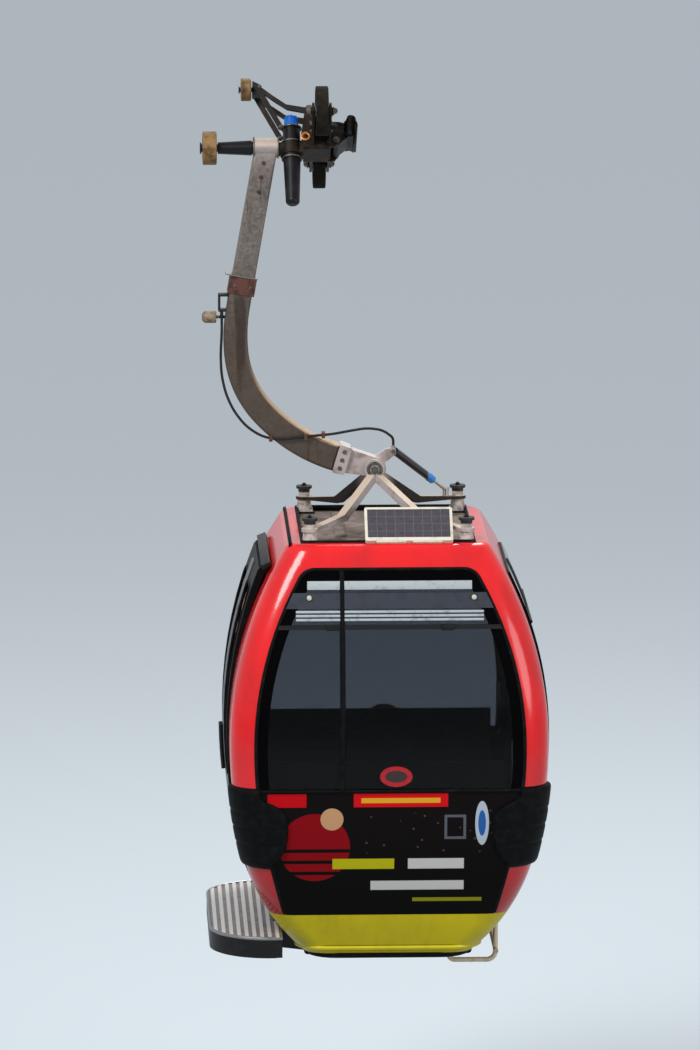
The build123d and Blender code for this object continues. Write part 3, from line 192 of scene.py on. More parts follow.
def worn(add, where, mirrored, base, stain, blot, share, rough, metal, coat, bump, grain):
    """Finish of the table above: blots of stain, uneven gloss, and the grain as bump."""
    fine = cloud(add, where, grain, detail=3.0)
    inputs = {"Base Color": stained(add, where, blot, 0.62 - share * 0.4, 0.72, base, stain),
              "Roughness": add("Math", [fine, 0.16, rough - 0.08], "MULTIPLY_ADD"),
              "Metallic": metal, "Coat Weight": coat, "Coat Roughness": 0.25, "Specular IOR Level": mirrored}
    if bump:
        inputs["Normal"] = add("Bump", {"Height": fine, "Distance": bump / 1000})
    return inputs


def facing_in(add, where):
    """1 on faces that look towards the cabin's middle, where the wall's inner face gets painted shade."""
    away = add("VectorMath", [where, (-CABIN_X, -SHAFT_Y, -MIDDLE_Z)])
    turned = add("VectorMath", [away, add("TexCoord").outputs["Normal"]], "DOT_PRODUCT")
    return add("Math", [turned, 0.0], "LESS_THAN")


def gelcoat(add, where, colour, dull, rough=0.22, grime=1.0, shine=0.42, depth=None):
    """Polyester gelcoat, sprayed and polished: deep gloss, chalked on top, grime washed down in streaks.
    Where a depth colour is given, it is painted low down as shade, and the inner faces are painted dark grey
    as shade.
    """
    height = add("SeparateXYZ", [where]).outputs["Z"]
    colour = stained(add, where, 260, 0.35, 0.75, colour, dull)
    # Painted shade: depth is a darker colour laid over the lower part of the barrel, where less light falls.
    if depth:
        low_down = add("MapRange", [height, -3.45, -3.95])
        low_down = add("Math", [low_down, 0.8], "MULTIPLY")
        colour = layered(add, colour, (low_down, depth))
    streaks = add("MapRange", [cloud(add, where, 46, stretch=(1, 1, 9)), 0.50, 0.78])
    low = add("MapRange", [height, -3.55, -4.25])
    share = add("Math", [low, 0.28 * grime, 0.10 * grime], "MULTIPLY_ADD")
    dirt = add("Math", [streaks, share], "MULTIPLY")
    # Painted shade: faces inside the cabin are painted dark grey and lose the coat, standing in for the dim
    # inside.
    inside = facing_in(add, where)
    orange_peel = cloud(add, where, 22, detail=1.0)
    return {
        "Base Color": layered(add, colour, (dirt, "3d1f1a"), (inside, "1d1c1e")),
        "Roughness": add("Math", [dirt, 0.30, rough], "MULTIPLY_ADD"),
        "Coat Weight": add("Math", [inside, -shine, shine], "MULTIPLY_ADD"),
        "Coat Roughness": 0.07, "Specular IOR Level": 0.3,
        "Normal": add("Bump", {"Height": orange_peel, "Distance": 0.00025})}


def galvanised_steel(add, where):
    """Hot-dip galvanised plate after years outside: grey spangle gone brown lower down, rain streaks, and
    painted highlights: pale tan on faces that look up, pale grey near the head.
    """
    height = add("SeparateXYZ", [where]).outputs["Z"]
    upward = add("SeparateXYZ", [add("TexCoord").outputs["Normal"]]).outputs["Z"]
    spangle = add("TexVoronoi", {"Vector": where, "Scale": 1000 / 16}).outputs["Color"]
    glint = add("SeparateColor", [spangle])
    zinc = layered(add, "6a615c", (glint, "7f7670"))
    down = add("MapRange", [height, -0.45, -1.15])
    age = add("Math", [cloud(add, where, 150), 0.25], "MULTIPLY")
    brown = add("Math", [down, 0.74, age], "MULTIPLY_ADD")
    streaks = add("MapRange", [cloud(add, where, 22, stretch=(1, 1, 12)), 0.56, 0.8])
    # Rust has run down from the strap, along the middle of the arm.
    under_strap = add("MapRange", [height, -0.76, -0.86])
    above_bend = add("MapRange", [height, -1.42, -1.22])
    stretch = add("Math", [under_strap, above_bend], "MULTIPLY")
    run = add("MapRange", [cloud(add, where, 75, stretch=(1, 1, 7)), 0.44, 0.60])
    rust = add("Math", [stretch, run], "MULTIPLY")
    rust = add("Math", [rust, 0.72], "MULTIPLY")
    # Painted highlight: faces that look up are lightened to pale tan, as if lit by the sky.
    top_light_painted = add("MapRange", [upward, 0.05, 0.55])
    # Painted highlight: the arm is lightened to pale grey towards its head.
    head = add("MapRange", [height, -0.20, 0.02])
    head = add("Math", [head, 0.55], "MULTIPLY")
    return {
        "Base Color": layered(add, zinc, (brown, "46392c"), (streaks, "33291f"), (rust, "2b1a14"),
                              (top_light_painted, "b59a7e"), (head, "c3b9b6")),
        "Metallic": 0.35, "Roughness": add("Math", [glint, 0.18, 0.40], "MULTIPLY_ADD"),
        "Normal": add("Bump", {"Height": cloud(add, where, 18), "Distance": 0.00035})}


def inside_box(add, x, z, low, high):
    """1 inside a rectangle, with crisp edges."""
    edge = 0.003
    sides = [add("MapRange", [value, limit - out, limit]) for value, limit, out in (
        (x, low[0], edge), (x, high[0], -edge), (z, low[1], edge), (z, high[1], -edge))]
    across = add("Math", sides[:2], "MULTIPLY")
    upright = add("Math", sides[2:], "MULTIPLY")
    return add("Math", [across, upright], "MULTIPLY")


def inside_ellipse(add, x, z, centre, half):
    """1 inside an ellipse by its centre and half sizes, with a crisp edge."""
    across = add("Math", [x, centre[0]], "SUBTRACT")
    across = add("Math", [across, half[0]], "DIVIDE")
    upright = add("Math", [z, centre[1]], "SUBTRACT")
    upright = add("Math", [upright, half[1]], "DIVIDE")
    squared = add("Math", [upright, upright], "MULTIPLY")
    reach = add("Math", [across, across, squared], "MULTIPLY_ADD")
    return add("MapRange", [reach, 1.02, 0.98])


def distance_from(add, value, middle):
    """How far a value is from a middle, either way."""
    away = add("Math", [value, middle], "SUBTRACT")
    return add("Math", [away], "ABSOLUTE")


def end_border(add, where):
    """1 on the black border of an end window: near its curved sides and its top."""
    width = 0.062
    xyz = add("SeparateXYZ", [where]).outputs
    rise = add("Math", [xyz["Z"], WAIST_Z], "SUBTRACT")
    is_low = add("Math", [rise, 0.0], "LESS_THAN")
    mid_x = add("Math", [is_low, UPPER_ARC - LOWER_ARC, WAIST_HALF - UPPER_ARC], "MULTIPLY_ADD")
    arc = add("Math", [is_low, LOWER_ARC - UPPER_ARC, UPPER_ARC - SIDE_BAND], "MULTIPLY_ADD")
    run = add("Math", [distance_from(add, xyz["X"], CABIN_X), mid_x], "SUBTRACT")
    rise_squared = add("Math", [rise, rise], "MULTIPLY")
    distance = add("Math", [run, run, rise_squared], "MULTIPLY_ADD")
    distance = add("Math", [distance], "SQRT")
    from_side = add("Math", [arc, distance], "SUBTRACT")
    from_top = add("Math", [WINDOW_TOP_Z, xyz["Z"]], "SUBTRACT")
    nearest = add("Math", [from_side, from_top], "MINIMUM")
    return add("Math", [nearest, width], "LESS_THAN")


def right_border(add, where):
    """1 on the black border of the right side's window."""
    width = 0.045
    low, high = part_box("right_glass")
    xyz = add("SeparateXYZ", [where]).outputs
    masks = []
    for axis, middle in ((1, SHAFT_Y), (2, (low.z + high.z) / 2)):
        out = distance_from(add, xyz[axis], middle)
        masks.append(add("Math", [out, (high[axis] - low[axis]) / 2 - width], "GREATER_THAN"))
    return add("Math", masks, "MAXIMUM")


def slanted_marks(add, where):
    """1 on short slanted bars of vinyl on the upper part of each door pane."""
    spacing, slant, bar_share = 0.15, 0.6, 0.42
    xyz = add("SeparateXYZ", [where]).outputs
    across = distance_from(add, xyz["Y"], SHAFT_Y)
    run = add("Math", [across, slant, xyz["Z"]], "MULTIPLY_ADD")
    run = add("Math", [run, spacing], "DIVIDE")
    run = add("Math", [run], "FRACT")
    bars = add("Math", [run, bar_share], "LESS_THAN")
    field = inside_box(add, across, xyz["Z"], (0.10, -2.96), (0.31, -2.40))
    return add("Math", [bars, field], "MULTIPLY")


def acrylic(add, where, tint, cover, cover_colour):
    """Grey-tinted acrylic pane, extruded and polished, with a border or marks printed on it."""
    mask = cover(add, where)
    haze = add("MapRange", [cloud(add, where, 180), 0.4, 0.9])
    # Acrylic has an index of 1.49. It is lower here, so that the pale studio mirrored in the panes
    # doesn't hide the dark inside.
    return {
        "Base Color": layered(add, tint, (mask, cover_colour)),
        "Roughness": add("Math", [haze, 0.02], "MULTIPLY"),
        "Transmission Weight": add("Math", [1.0, mask], "SUBTRACT"),
        "IOR": 1.2, "Specular IOR Level": 0.08}


# The film's plain shapes from the cabin's middle: low corner and high corner, or centre and half size, colour
FILM_SHAPES = (
    (inside_ellipse, (-0.305, -3.475), (0.060, 0.060), "c89a72"),
    (inside_box, (-0.640, -3.408), (-0.440, -3.338), "c4121c"),
    (inside_box, (-0.190, -3.408), (0.300, -3.338), "d5161f"),
    (inside_box, (-0.150, -3.386), (0.260, -3.362), "e3a92c"),
    (inside_ellipse, (0.480, -3.500), (0.036, 0.120), "b4c2cf"),
    (inside_ellipse, (0.480, -3.500), (0.020, 0.070), "2c62a6"),
    (inside_box, (-0.300, -3.748), (0.020, -3.694), "b9b41a"),
    (inside_box, (0.095, -3.748), (0.385, -3.694), "c9c8c4"),
    (inside_box, (-0.100, -3.866), (0.385, -3.818), "c9c8c4"),
    (inside_box, (0.120, -3.932), (0.480, -3.914), "8f8c1c"),
)


def printed_film(add, where):
    """Laminated vinyl film on the lower end panel: black ground with a banded disc, bars and specks, and
    painted shade low down.
    """
    xyz = add("SeparateXYZ", [where]).outputs
    x = add("Math", [xyz["X"], CABIN_X], "SUBTRACT")
    z = xyz["Z"]
    # Painted shade: the black ground darkens towards the bottom, over the same heights as the red's painted
    # shade.
    low_down = add("MapRange", [z, -3.45, -3.95])
    ground = layered(add, "100c0d", (low_down, "080707"))
    # The specks stand about 45 mm apart.
    specks = add("TexVoronoi", {"Vector": where, "Scale": 22.0}).outputs["Distance"]
    specks = add("MapRange", [specks, 0.16, 0.10])
    speck_field = inside_box(add, x, z, (-0.15, -3.66), (0.62, -3.43))
    specks = add("Math", [specks, speck_field], "MULTIPLY")
    # The disc is whole above a height and cut into bands below it.
    bands = add("Math", [z, 1 / 0.062], "MULTIPLY")
    bands = add("Math", [bands], "FRACT")
    bands = add("MapRange", [bands, 0.28, 0.34])
    whole = add("Math", [z, -3.62], "GREATER_THAN")
    bands = add("Math", [whole, bands], "MAXIMUM")
    disc = inside_ellipse(add, x, z, (-0.395, -3.63), (0.185, 0.185))
    disc = add("Math", [disc, bands], "MULTIPLY")
    outer = inside_box(add, x, z, (0.285, -3.585), (0.395, -3.455))
    hole = inside_box(add, x, z, (0.299, -3.571), (0.381, -3.469))
    square = add("Math", [outer, hole], "SUBTRACT")
    layers = [(specks, "5e3a36"), (disc, "8a1018"), (square, "5c5f66")]
    layers += [(inside(add, x, z, first, second), shade) for inside, first, second, shade in FILM_SHAPES]
    return {
        "Base Color": layered(add, ground, *layers),
        "Roughness": add("Math", [cloud(add, where, 70), 0.2, 0.25], "MULTIPLY_ADD"),
        "Specular IOR Level": 0.05}


def roof_sheet(add, where):
    """Fibre-reinforced roof pan, grey-brown with dried puddles and soot."""
    puddle_rim = distance_from(add, cloud(add, where, 210), 0.5)
    puddle_rim = add("MapRange", [puddle_rim, 0.06, 0.0])
    puddle_rim = add("Math", [puddle_rim, 0.5], "MULTIPLY")
    soot = cloud(add, where, 60, detail=7.0)
    sooty = add("MapRange", [soot, 0.55, 0.75])
    laminate = stained(add, where, 210, 0.4, 0.65, "6a5a50", "7d6c61")
    return {
        "Base Color": layered(add, laminate, (puddle_rim, "958474"), (sooty, "3b312b")), "Roughness": 0.72,
        "Normal": add("Bump", {"Height": soot, "Distance": 0.0006})}


def ribbed_tread(add, where):
    """Extruded aluminium tread, bright on the ribs, with brown dirt and painted shade lying in the grooves.
    """
    height = add("SeparateXYZ", [where]).outputs["Z"]
    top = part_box("step_tread")[1].z
    # Painted shade with dirt: the grooves below the ribs' tops are browned, unevenly.
    between = add("MapRange", [height, top - 0.0022, top - 0.0036])
    dust = add("Math", [cloud(add, where, 55), 0.5, 0.55], "MULTIPLY_ADD")
    grime = add("Math", [between, dust], "MULTIPLY")
    brushed = cloud(add, where, 3, detail=2.0, stretch=(1, 60, 1))
    return {
        "Base Color": layered(add, "dcdcda", (grime, "5d4a44")), "Metallic": 0.35,
        "Roughness": add("Math", [brushed, 0.2, 0.35], "MULTIPLY_ADD"),
        "Normal": add("Bump", {"Height": brushed, "Distance": 0.0001})}


def solar_glass(add, where):
    """Dark silicon cells under glass: a grid of thin pale lines, bluish purple cells."""
    low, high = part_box("solar_cells")
    place = add("Mapping", {"Vector": where, "Location": -low})
    xyz = add("SeparateXYZ", [place]).outputs
    gaps = []
    for axis, cells, gap in ((0, 9, 0.07), (2, 4, 0.06)):
        share = add("Math", [xyz[axis], cells / (high[axis] - low[axis])], "MULTIPLY")
        share = add("Math", [share], "FRACT")
        gaps.append(add("Math", [share, gap], "LESS_THAN"))
    line = add("Math", gaps, "MAXIMUM")
    # The crystals are about 17 mm across.
    crystal = add("TexVoronoi", {"Vector": where, "Scale": 60.0}).outputs["Color"]
    silicon = layered(add, "2c2630", (add("SeparateColor", [crystal]), "3c3440"))
    return {
        "Base Color": layered(add, silicon, (line, "57505a")), "Roughness": 0.40,
        "Coat Weight": 0.6, "Coat Roughness": 0.06}


def damper_paint(add, where):
    """Black enamelled cylinder with a clean blue band near its rod end."""
    rod_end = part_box("roll_damper_tube")[1].x
    xyz = add("SeparateXYZ", [where]).outputs
    band = add("MapRange", [xyz["X"], rod_end - 0.046, rod_end - 0.042])
    black = stained(add, where, 30, 0.55, 0.8, "121214", "2b2a2b")
    return {
        "Base Color": layered(add, black, (band, "2f8fe0")), "Roughness": 0.32,
        "Coat Weight": 0.2, "Coat Roughness": 0.15}


def mount_rubber(add, where):
    """Bonded rubber mounts: dusty whitish cones and plates, with dark caps on top."""
    height = add("SeparateXYZ", [where]).outputs["Z"]
    cap = add("MapRange", [height, -1.968, -1.962])
    pale = stained(add, where, 24, 0.4, 0.7, "c4bbb5", "94887e")
    black = stained(add, where, 24, 0.5, 0.8, "131010", "2b2420")
    return {
        "Base Color": layered(add, pale, (cap, black)), "Roughness": 0.6,
        "Normal": add("Bump", {"Height": cloud(add, where, 24), "Distance": 0.0003})}


def aged_casting(add, where, base, stain, shade, lit, dark_from, lit_from):
    """Sand casting: stained, with painted shade behind a plane across Y and a painted highlight where faces
    look up.
    """
    along_line = add("SeparateXYZ", [where]).outputs["Y"]
    upward = add("SeparateXYZ", [add("TexCoord").outputs["Normal"]]).outputs["Z"]
    # Painted shade: behind the plane the casting takes the dark shade colour.
    behind = add("MapRange", [along_line, dark_from, dark_from + 0.10])
    # Painted highlight: faces that look up are lightened to the lit colour.
    painted_up_highlight = add("MapRange", [upward, lit_from, min(lit_from + 0.5, 0.95)])
    painted_up_highlight = add("Math", [painted_up_highlight, 0.75], "MULTIPLY")
    pits = cloud(add, where, 10, detail=3.0)
    cast = stained(add, where, 95, 0.42, 0.70, base, stain)
    return {
        "Base Color": layered(add, cast, (behind, shade), (painted_up_highlight, lit)), "Metallic": 0.2,
        "Roughness": add("Math", [pits, 0.16, 0.50], "MULTIPLY_ADD"), "Specular IOR Level": 0.35,
        "Normal": add("Bump", {"Height": pits, "Distance": 0.0004})}


def transom_enamel(add, where):
    """Blue-grey enamel on the broad vent bar, black on the slim rail below it."""
    height = add("SeparateXYZ", [where]).outputs["Z"]
    broad = add("MapRange", [height, -2.43, -2.41])
    blue = stained(add, where, 70, 0.45, 0.75, "343842", "2a2d36")
    return {
        "Base Color": layered(add, "0b0b0d", (broad, blue)), "Roughness": 0.42,
        "Specular IOR Level": 0.3}


def actuator_paint(add, where):
    """Black bracket and a beige nylon roller at its outer end."""
    xyz = add("SeparateXYZ", [where]).outputs
    outer = add("MapRange", [xyz["X"], -0.688, -0.694])
    lower = add("MapRange", [xyz["Z"], -0.900, -0.908])
    roller = add("Math", [outer, lower], "MULTIPLY")
    beige = stained(add, where, 26, 0.4, 0.7, "93826c", "6d5e4c")
    return {
        "Base Color": layered(add, "101012", (roller, beige)), "Roughness": 0.5,
        "Specular IOR Level": 0.3}


def ring_mark(add, where):
    """Small oval of vinyl: a plain red ring round a dark middle."""
    xyz = add("SeparateXYZ", [where]).outputs
    x = add("Math", [xyz["X"], CABIN_X], "SUBTRACT")
    middle = inside_ellipse(add, x, xyz["Z"], (OVAL_X, OVAL_Z), (0.058, 0.032))
    red = stained(add, where, 12, 0.4, 0.8, "b5121c", "93121a")
    return {"Base Color": layered(add, red, (middle, "2a1416")), "Roughness": 0.4}


for name, measures in WORN.items():
    # Carbon-filled rubber that has weathered scatters less light from its face than enamel or plastic.
    paint(name, worn, 0.07 if name.endswith("rubber") else 0.22, *measures)
# Pale alloy foot under the arm, with a painted highlight on top.
paint("foot_casting", aged_casting, "b3a7a4", "7f7067", "94887f", "ded3cf", 0.30, 0.30)
# Pale suspension yoke, with painted shade in its rear half and a warm painted highlight on top.
paint("yoke_casting", aged_casting, "b7adab", "8a7c74", "2c231e", "d9c2ab", 0.02, 0.30)
# Nearly black greased lever, with a pale painted highlight only where it looks straight up. No plane darkens
# it.
paint("lever_casting", aged_casting, "191512", "352519", "191512", "b5adab", 3.0, 0.72)
paint("transom_enamel", transom_enamel)
paint("oval_vinyl", ring_mark)
paint("actuator_paint", actuator_paint)
# The red gelcoat carries painted shade: a darker red low on the barrel.
paint("red_gelcoat", gelcoat, "ec1119", "d4141b", depth="a50a12")
paint("yellow_green_gelcoat", gelcoat, "dac800", "cbba02", 0.40, grime=0.35, shine=0.12)
paint("lip_gelcoat", gelcoat, "d2c408", "c0b208", 0.40, grime=0.2, shine=0.12)
paint("galvanised_plate", galvanised_steel)
paint("end_acrylic", acrylic, "8b9097", end_border, "060607")
paint("side_acrylic", acrylic, "7c868f", right_border, "060607")
paint("door_acrylic", acrylic, "7c868f", slanted_marks, "c98f8c")
paint("printed_vinyl_film", printed_film)
paint("weathered_roof_laminate", roof_sheet)
paint("extruded_tread_aluminium", ribbed_tread)
paint("silicon_cells", solar_glass)
paint("damper_enamel", damper_paint)
paint("bonded_mount_rubber", mount_rubber)

NODE_FINISH = {
    "lever_casting": ["grip_lever"],
    "greased_casting": ["grip_frame", "upper_wheel_hub", "lower_wheel_hub", "guide_roller_hub",
                        "lever_roller_hub"],
    "forged_steel": ["fixed_jaw", "movable_jaw"],
    "satin_black_enamel": ["grip_shaft", "spring_capsule"],
    "matt_black_powder_coat": ["door_leaf_front", "door_leaf_rear"],
    "moulded_blue_plastic": ["spring_cap"],
    "running_rubber": ["upper_wheel_tyre", "lower_wheel_tyre"],
    "cast_polyurethane": ["guide_roller_tyre", "lever_roller_tyre"],
    "galvanised_plate": ["hanger_arm"],
    "foot_casting": ["arm_foot"],
    "yoke_casting": ["suspension_yoke"],
    "bonded_mount_rubber": ["roof_mounts"],
    "damper_enamel": ["roll_damper_tube"],
    "hard_chrome": ["roll_damper_rod"],
    "black_fitting_enamel": ["step_frame"],
    "actuator_paint": ["door_actuator"],
    "transom_enamel": ["window_rails"],
    "pvc_sheath": ["control_cable"],
    "oxide_primer": ["arm_clamps"],
    "red_gelcoat": ["front_end", "rear_end", "roof_shell", "right_wall", "door_jambs"],
    "yellow_green_gelcoat": ["front_skirt", "rear_skirt"],
    "end_acrylic": ["front_glass", "rear_glass"],
    "side_acrylic": ["right_glass"],
    "door_acrylic": ["door_glass_front", "door_glass_rear"],
    "printed_vinyl_film": ["front_panel", "rear_panel"],
    "weathered_roof_laminate": ["roof_pan"],
    "underbody_coating": ["under_tray", "underframe"],
    "epdm_rubber": ["right_gasket", "door_seal", "drip_rail", "floor_pan"],
    "seat_plastic": ["bench_front", "bench_rear"],
    "extruded_tread_aluminium": ["step_tread"],
    "bumper_rubber": ["corner_bumpers"],
    "dusty_galvanised_tube": ["guide_bow"],
    "cream_powder_coat": ["solar_frame"],
    "silicon_cells": ["solar_cells"],
}
for finish, names in NODE_FINISH.items():
    for name in names:
        if nodes[name].material_slots:
            nodes[name].material_slots[0].material = materials[finish]
        else:
            nodes[name].data.materials.append(materials[finish])


# Camera, at the photograph's angle: from the front, slightly left and ten degrees above

TARGET = Vector((0.0, -0.034, -2.06))
DISTANCE = 47.0
FRAME_HEIGHT = 5.55
AZIMUTH, ELEVATION = radians(-2), radians(10)
back = Vector((sin(AZIMUTH) * cos(ELEVATION), -cos(AZIMUTH) * cos(ELEVATION), sin(ELEVATION)))
lens_data = bpy.data.cameras.new("camera")
lens_data.sensor_width = 36.0
lens_data.lens = lens_data.sensor_width * DISTANCE / FRAME_HEIGHT
lens_data.clip_start, lens_data.clip_end = 1.0, 300.0
camera = bpy.data.objects.new("camera", lens_data)
bpy.context.scene.collection.objects.link(camera)
camera.location = TARGET + back * DISTANCE
camera.rotation_euler = (-back).to_track_quat("-Z", "Y").to_euler()
bpy.context.scene.camera = camera
bpy.context.scene.view_settings.view_transform = "Standard"


# Mesh tools. A finish is a material and the record's slot. A carrier is a body and a place on it. It is the
# hanger at the cabin where a piece names none.

SEAL = ("epdm_rubber", "black_rubber_seal")
ZINC = ("dull_zinc", "bright_steel")
FITTING = ("black_fitting_enamel", "black_steel_fitting")
WINDOW_PROFILE = ("black_fitting_enamel", "black_window_profile")
ALUMINIUM = ("anodised_profile", "ribbed_aluminium")
LAMP_COVER = ("lamp_polycarbonate", "cream_aluminium_frame")
GREASED = ("greased_casting", "dark_grip_steel")
ON_CABIN = ("hanger", cabin)
ON_ARM = ("hanger", hung)
ON_GRIP = ("grip", grip_turn)
ON_LEVER = ("grip_lever", grip_turn)
SHARP_EDGE, SHADED_EDGE = radians(30), radians(32)


def along(point, way):
    """Place and turn that take the Z axis to a way through a point."""
    return Matrix.Translation(point) @ Vector(way).to_track_quat("Z", "Y").to_matrix().to_4x4()


def drum(bm, point, way, radius, length, segments=24, top=None):
    """Closed cylinder or cone whose middle is at a point."""
    bmesh.ops.create_cone(bm, cap_ends=True, segments=segments, radius1=radius,
                          radius2=radius if top is None else top, depth=length, matrix=along(point, way))


def slab(bm, point, size, turn=Matrix.Identity(4)):
    """Box by its middle and size, turned about its middle."""
    bmesh.ops.create_cube(bm, size=1.0, matrix=Matrix.Translation(point) @ turn @ Matrix.Diagonal((*size, 1)))


def ring(bm, point, way, inner, outer, thick, steps=32):
    """Flat ring: a rectangle spun once round the axis."""
    before = set(bm.verts)
    section = ((inner, -thick / 2), (outer, -thick / 2), (outer, thick / 2), (inner, thick / 2))
    corners = [bm.verts.new((r, 0, h)) for r, h in section]
    sides = [bm.edges.new((corners[i], corners[(i + 1) % 4])) for i in range(4)]
    bmesh.ops.spin(bm, geom=corners + sides, cent=(0, 0, 0), axis=(0, 0, 1), dvec=(0, 0, 0),
                   angle=2 * pi, steps=steps, use_merge=True)
    bmesh.ops.transform(bm, matrix=along(point, way), verts=[v for v in bm.verts if v not in before])


def soften(bm, width, segments):
    """Bevel the sharp edges."""
    sharp = [e for e in bm.edges if len(e.link_faces) == 2 and e.calc_face_angle() > SHARP_EDGE]
    bmesh.ops.bevel(bm, geom=sharp, offset=width, offset_type="OFFSET", affect="EDGES",
                    segments=segments, profile=0.5, material=-1, clamp_overlap=True)


def finished(bm, name, finish, carrier=ON_CABIN):
    """Make the piece, put its place in its mesh, and let it ride on its carrier."""
    material, slot = finish
    body, place = carrier
    bmesh.ops.recalc_face_normals(bm, faces=bm.faces)
    bmesh.ops.transform(bm, matrix=place, verts=bm.verts)
    mesh = bpy.data.meshes.new(name)
    bm.to_mesh(mesh)
    bm.free()
    for polygon in mesh.polygons:
        polygon.use_smooth = True
    mesh.set_sharp_from_angle(angle=SHADED_EDGE)
    mesh.materials.append(materials[material])
    piece = bpy.data.objects.new(name, mesh)
    bpy.context.scene.collection.objects.link(piece)
    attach(piece, body)
    return piece


def shapes(name, shape, rows, bevel, finish, carrier=ON_CABIN):
    """One piece of like shapes, a row of measures each, with a bevel's width and segments or none."""
    bm = bmesh.new()
    for row in rows:
        shape(bm, *row)
    if bevel:
        soften(bm, *bevel)
    return finished(bm, name, finish, carrier)


def tube(name, points, radius, finish, carrier=ON_CABIN, closed=False, resolution=2):
    """Round bar along points, made from a curve and kept as a mesh."""
    curve = bpy.data.curves.new(name, "CURVE")
    curve.dimensions = "3D"
    curve.bevel_depth = radius
    curve.bevel_resolution = resolution
    curve.use_fill_caps = not closed
    spline = curve.splines.new("POLY")
    spline.points.add(len(points) - 1)
    for knot, point in zip(spline.points, points):
        knot.co = (*point, 1)
    spline.use_cyclic_u = closed
    maker = bpy.data.objects.new(name + "_line", curve)
    bm = bmesh.new()
    bm.from_mesh(maker.to_mesh())
    bpy.data.objects.remove(maker)
    bmesh.ops.remove_doubles(bm, verts=bm.verts, dist=1e-5)
    return finished(bm, name, finish, carrier)


def hex_bolts(name, spots, size, finish, carrier=ON_CABIN):
    """Hexagon heads on washers at (point, way outwards) spots, all in one mesh."""
    rows = []
    for point, way in spots:
        point, way = Vector(point), Vector(way).normalized()
        rows.append((point + way * size * 0.10, way, size * 1.15, size * 0.24, 20))
        rows.append((point + way * size * 0.52, way, size * 0.88, size * 0.66, 6, size * 0.84))
        rows.append((point + way * size * 0.93, way, size * 0.42, size * 0.34, 12))
    return shapes(name, drum, rows, None, finish, carrier)


def spread(low, high, count):
    """Evenly spaced numbers from low to high."""
    return [low + (high - low) * i / (count - 1) for i in range(count)]


# The barrel's own curves: half size at the waist, radius of the arc above, radii of the two arcs below

FRONT_CURVE = (WAIST_HALF, UPPER_ARC, LOWER_ARC, BILGE_ARC)
SIDE_CURVE = (0.850, 2.446, 3.300, 1.400)
DOOR_CURVE = (0.846, 2.400, LOWER_ARC, BILGE_ARC)
# An end window and its panel, whose sides are nearly straight at the bottom
WINDOW_CURVE = (WAIST_HALF - SIDE_BAND, UPPER_ARC - SIDE_BAND, LOWER_ARC - SIDE_BAND, 9.000)


def half_at(z, waist, upper, lower, bilge):
    """Half size of a curve at a height. Its arcs are tangent where they meet."""
    rise = z - WAIST_Z
    if rise >= 0:
        return waist - upper + sqrt(upper ** 2 - rise ** 2)
    if -rise <= lower * sin(LOWER_TURN):
        return waist - lower + sqrt(lower ** 2 - rise ** 2)
    centre = waist - lower + (lower - bilge) * cos(LOWER_TURN)
    drop = rise + (lower - bilge) * sin(LOWER_TURN)
    return centre + sqrt(bilge ** 2 - drop ** 2)


def half_width(z):
    return half_at(z, *FRONT_CURVE)


def half_length(z):
    return half_at(z, *SIDE_CURVE)


def door_reach(z):
    return half_at(z, *DOOR_CURVE)


def window_half(z):
    return half_at(z, *WINDOW_CURVE)


def end_depth(x, z):
    """How far the end wall stands from the cabin's middle, seen from the front, with its round corners."""
    over = min(max(0.0, abs(x) - (half_width(z) - CORNER)), CORNER * 0.98)
    return half_length(z) - CORNER + sqrt(CORNER ** 2 - over ** 2)


# Ends of the cabin: beads round window and panel, skirt strips, vents, lamps and oval marks

ENDS = ((-1, "front"), (1, "rear"))
PANEL_LOW_Z, SILL_Z = -4.000, -3.322
MULLION_X = -0.248
# height, height of the slat, how far proud, half length
VENT_SLATS = ((-2.388, 0.013, 0.003, 0.49), (-2.408, 0.013, 0.003, 0.49), (-2.428, 0.013, 0.003, 0.49),
              (-2.256, 0.046, 0.002, 0.43))
# name, height, set back from the skin, radius, finish
SKIRT_STRIPS = (("skirt_lip_", -4.206, 0.0, 0.016, ("lip_gelcoat", "yellow_green_gelcoat")),
                ("skirt_rub_strip_", -4.248, 0.012, 0.022, SEAL))


def end_window_path(side, proud):
    """Line round an end window and its panel, from one lower corner over the top to the other."""
    side_arc, side_arc_x = UPPER_ARC - SIDE_BAND, WAIST_HALF - UPPER_ARC
    # The round corner touches the side's arc from within and the straight top.
    corner_z = WINDOW_TOP_Z - WINDOW_CORNER
    rise = corner_z - WAIST_Z
    run = sqrt((side_arc - WINDOW_CORNER) ** 2 - rise ** 2)
    lean, middle = atan2(rise, run), side_arc_x + run
    path = [(-window_half(z), z) for z in spread(PANEL_LOW_Z, corner_z + WINDOW_CORNER * sin(lean), 26)]
    for angle in spread(lean, radians(90), 7)[1:]:
        path.append((-middle - WINDOW_CORNER * cos(angle), corner_z + WINDOW_CORNER * sin(angle)))
    path += [(x, WINDOW_TOP_Z) for x in spread(-middle, 0.0, 5)[1:]]
    path += [(-x, z) for x, z in reversed(path[:-1])]
    return [(x, side * (end_depth(x, z) + proud), z) for x, z in path]


def skirt_path(side, z, inset):
    """Line along an end's skirt and round its two corners."""
    x_edge, y_edge = half_width(z) - inset, half_length(z) - inset
    path = [(-x_edge, side * 0.50, z)]
    for sign, angles in ((-1, spread(180, 90, 7)), (1, spread(90, 0, 7))):
        for angle in (radians(a) for a in angles):
            path.append((sign * (x_edge - CORNER) + CORNER * cos(angle),
                         side * (y_edge - CORNER + CORNER * sin(angle)), z))
    return path + [(x_edge, side * 0.50, z)]


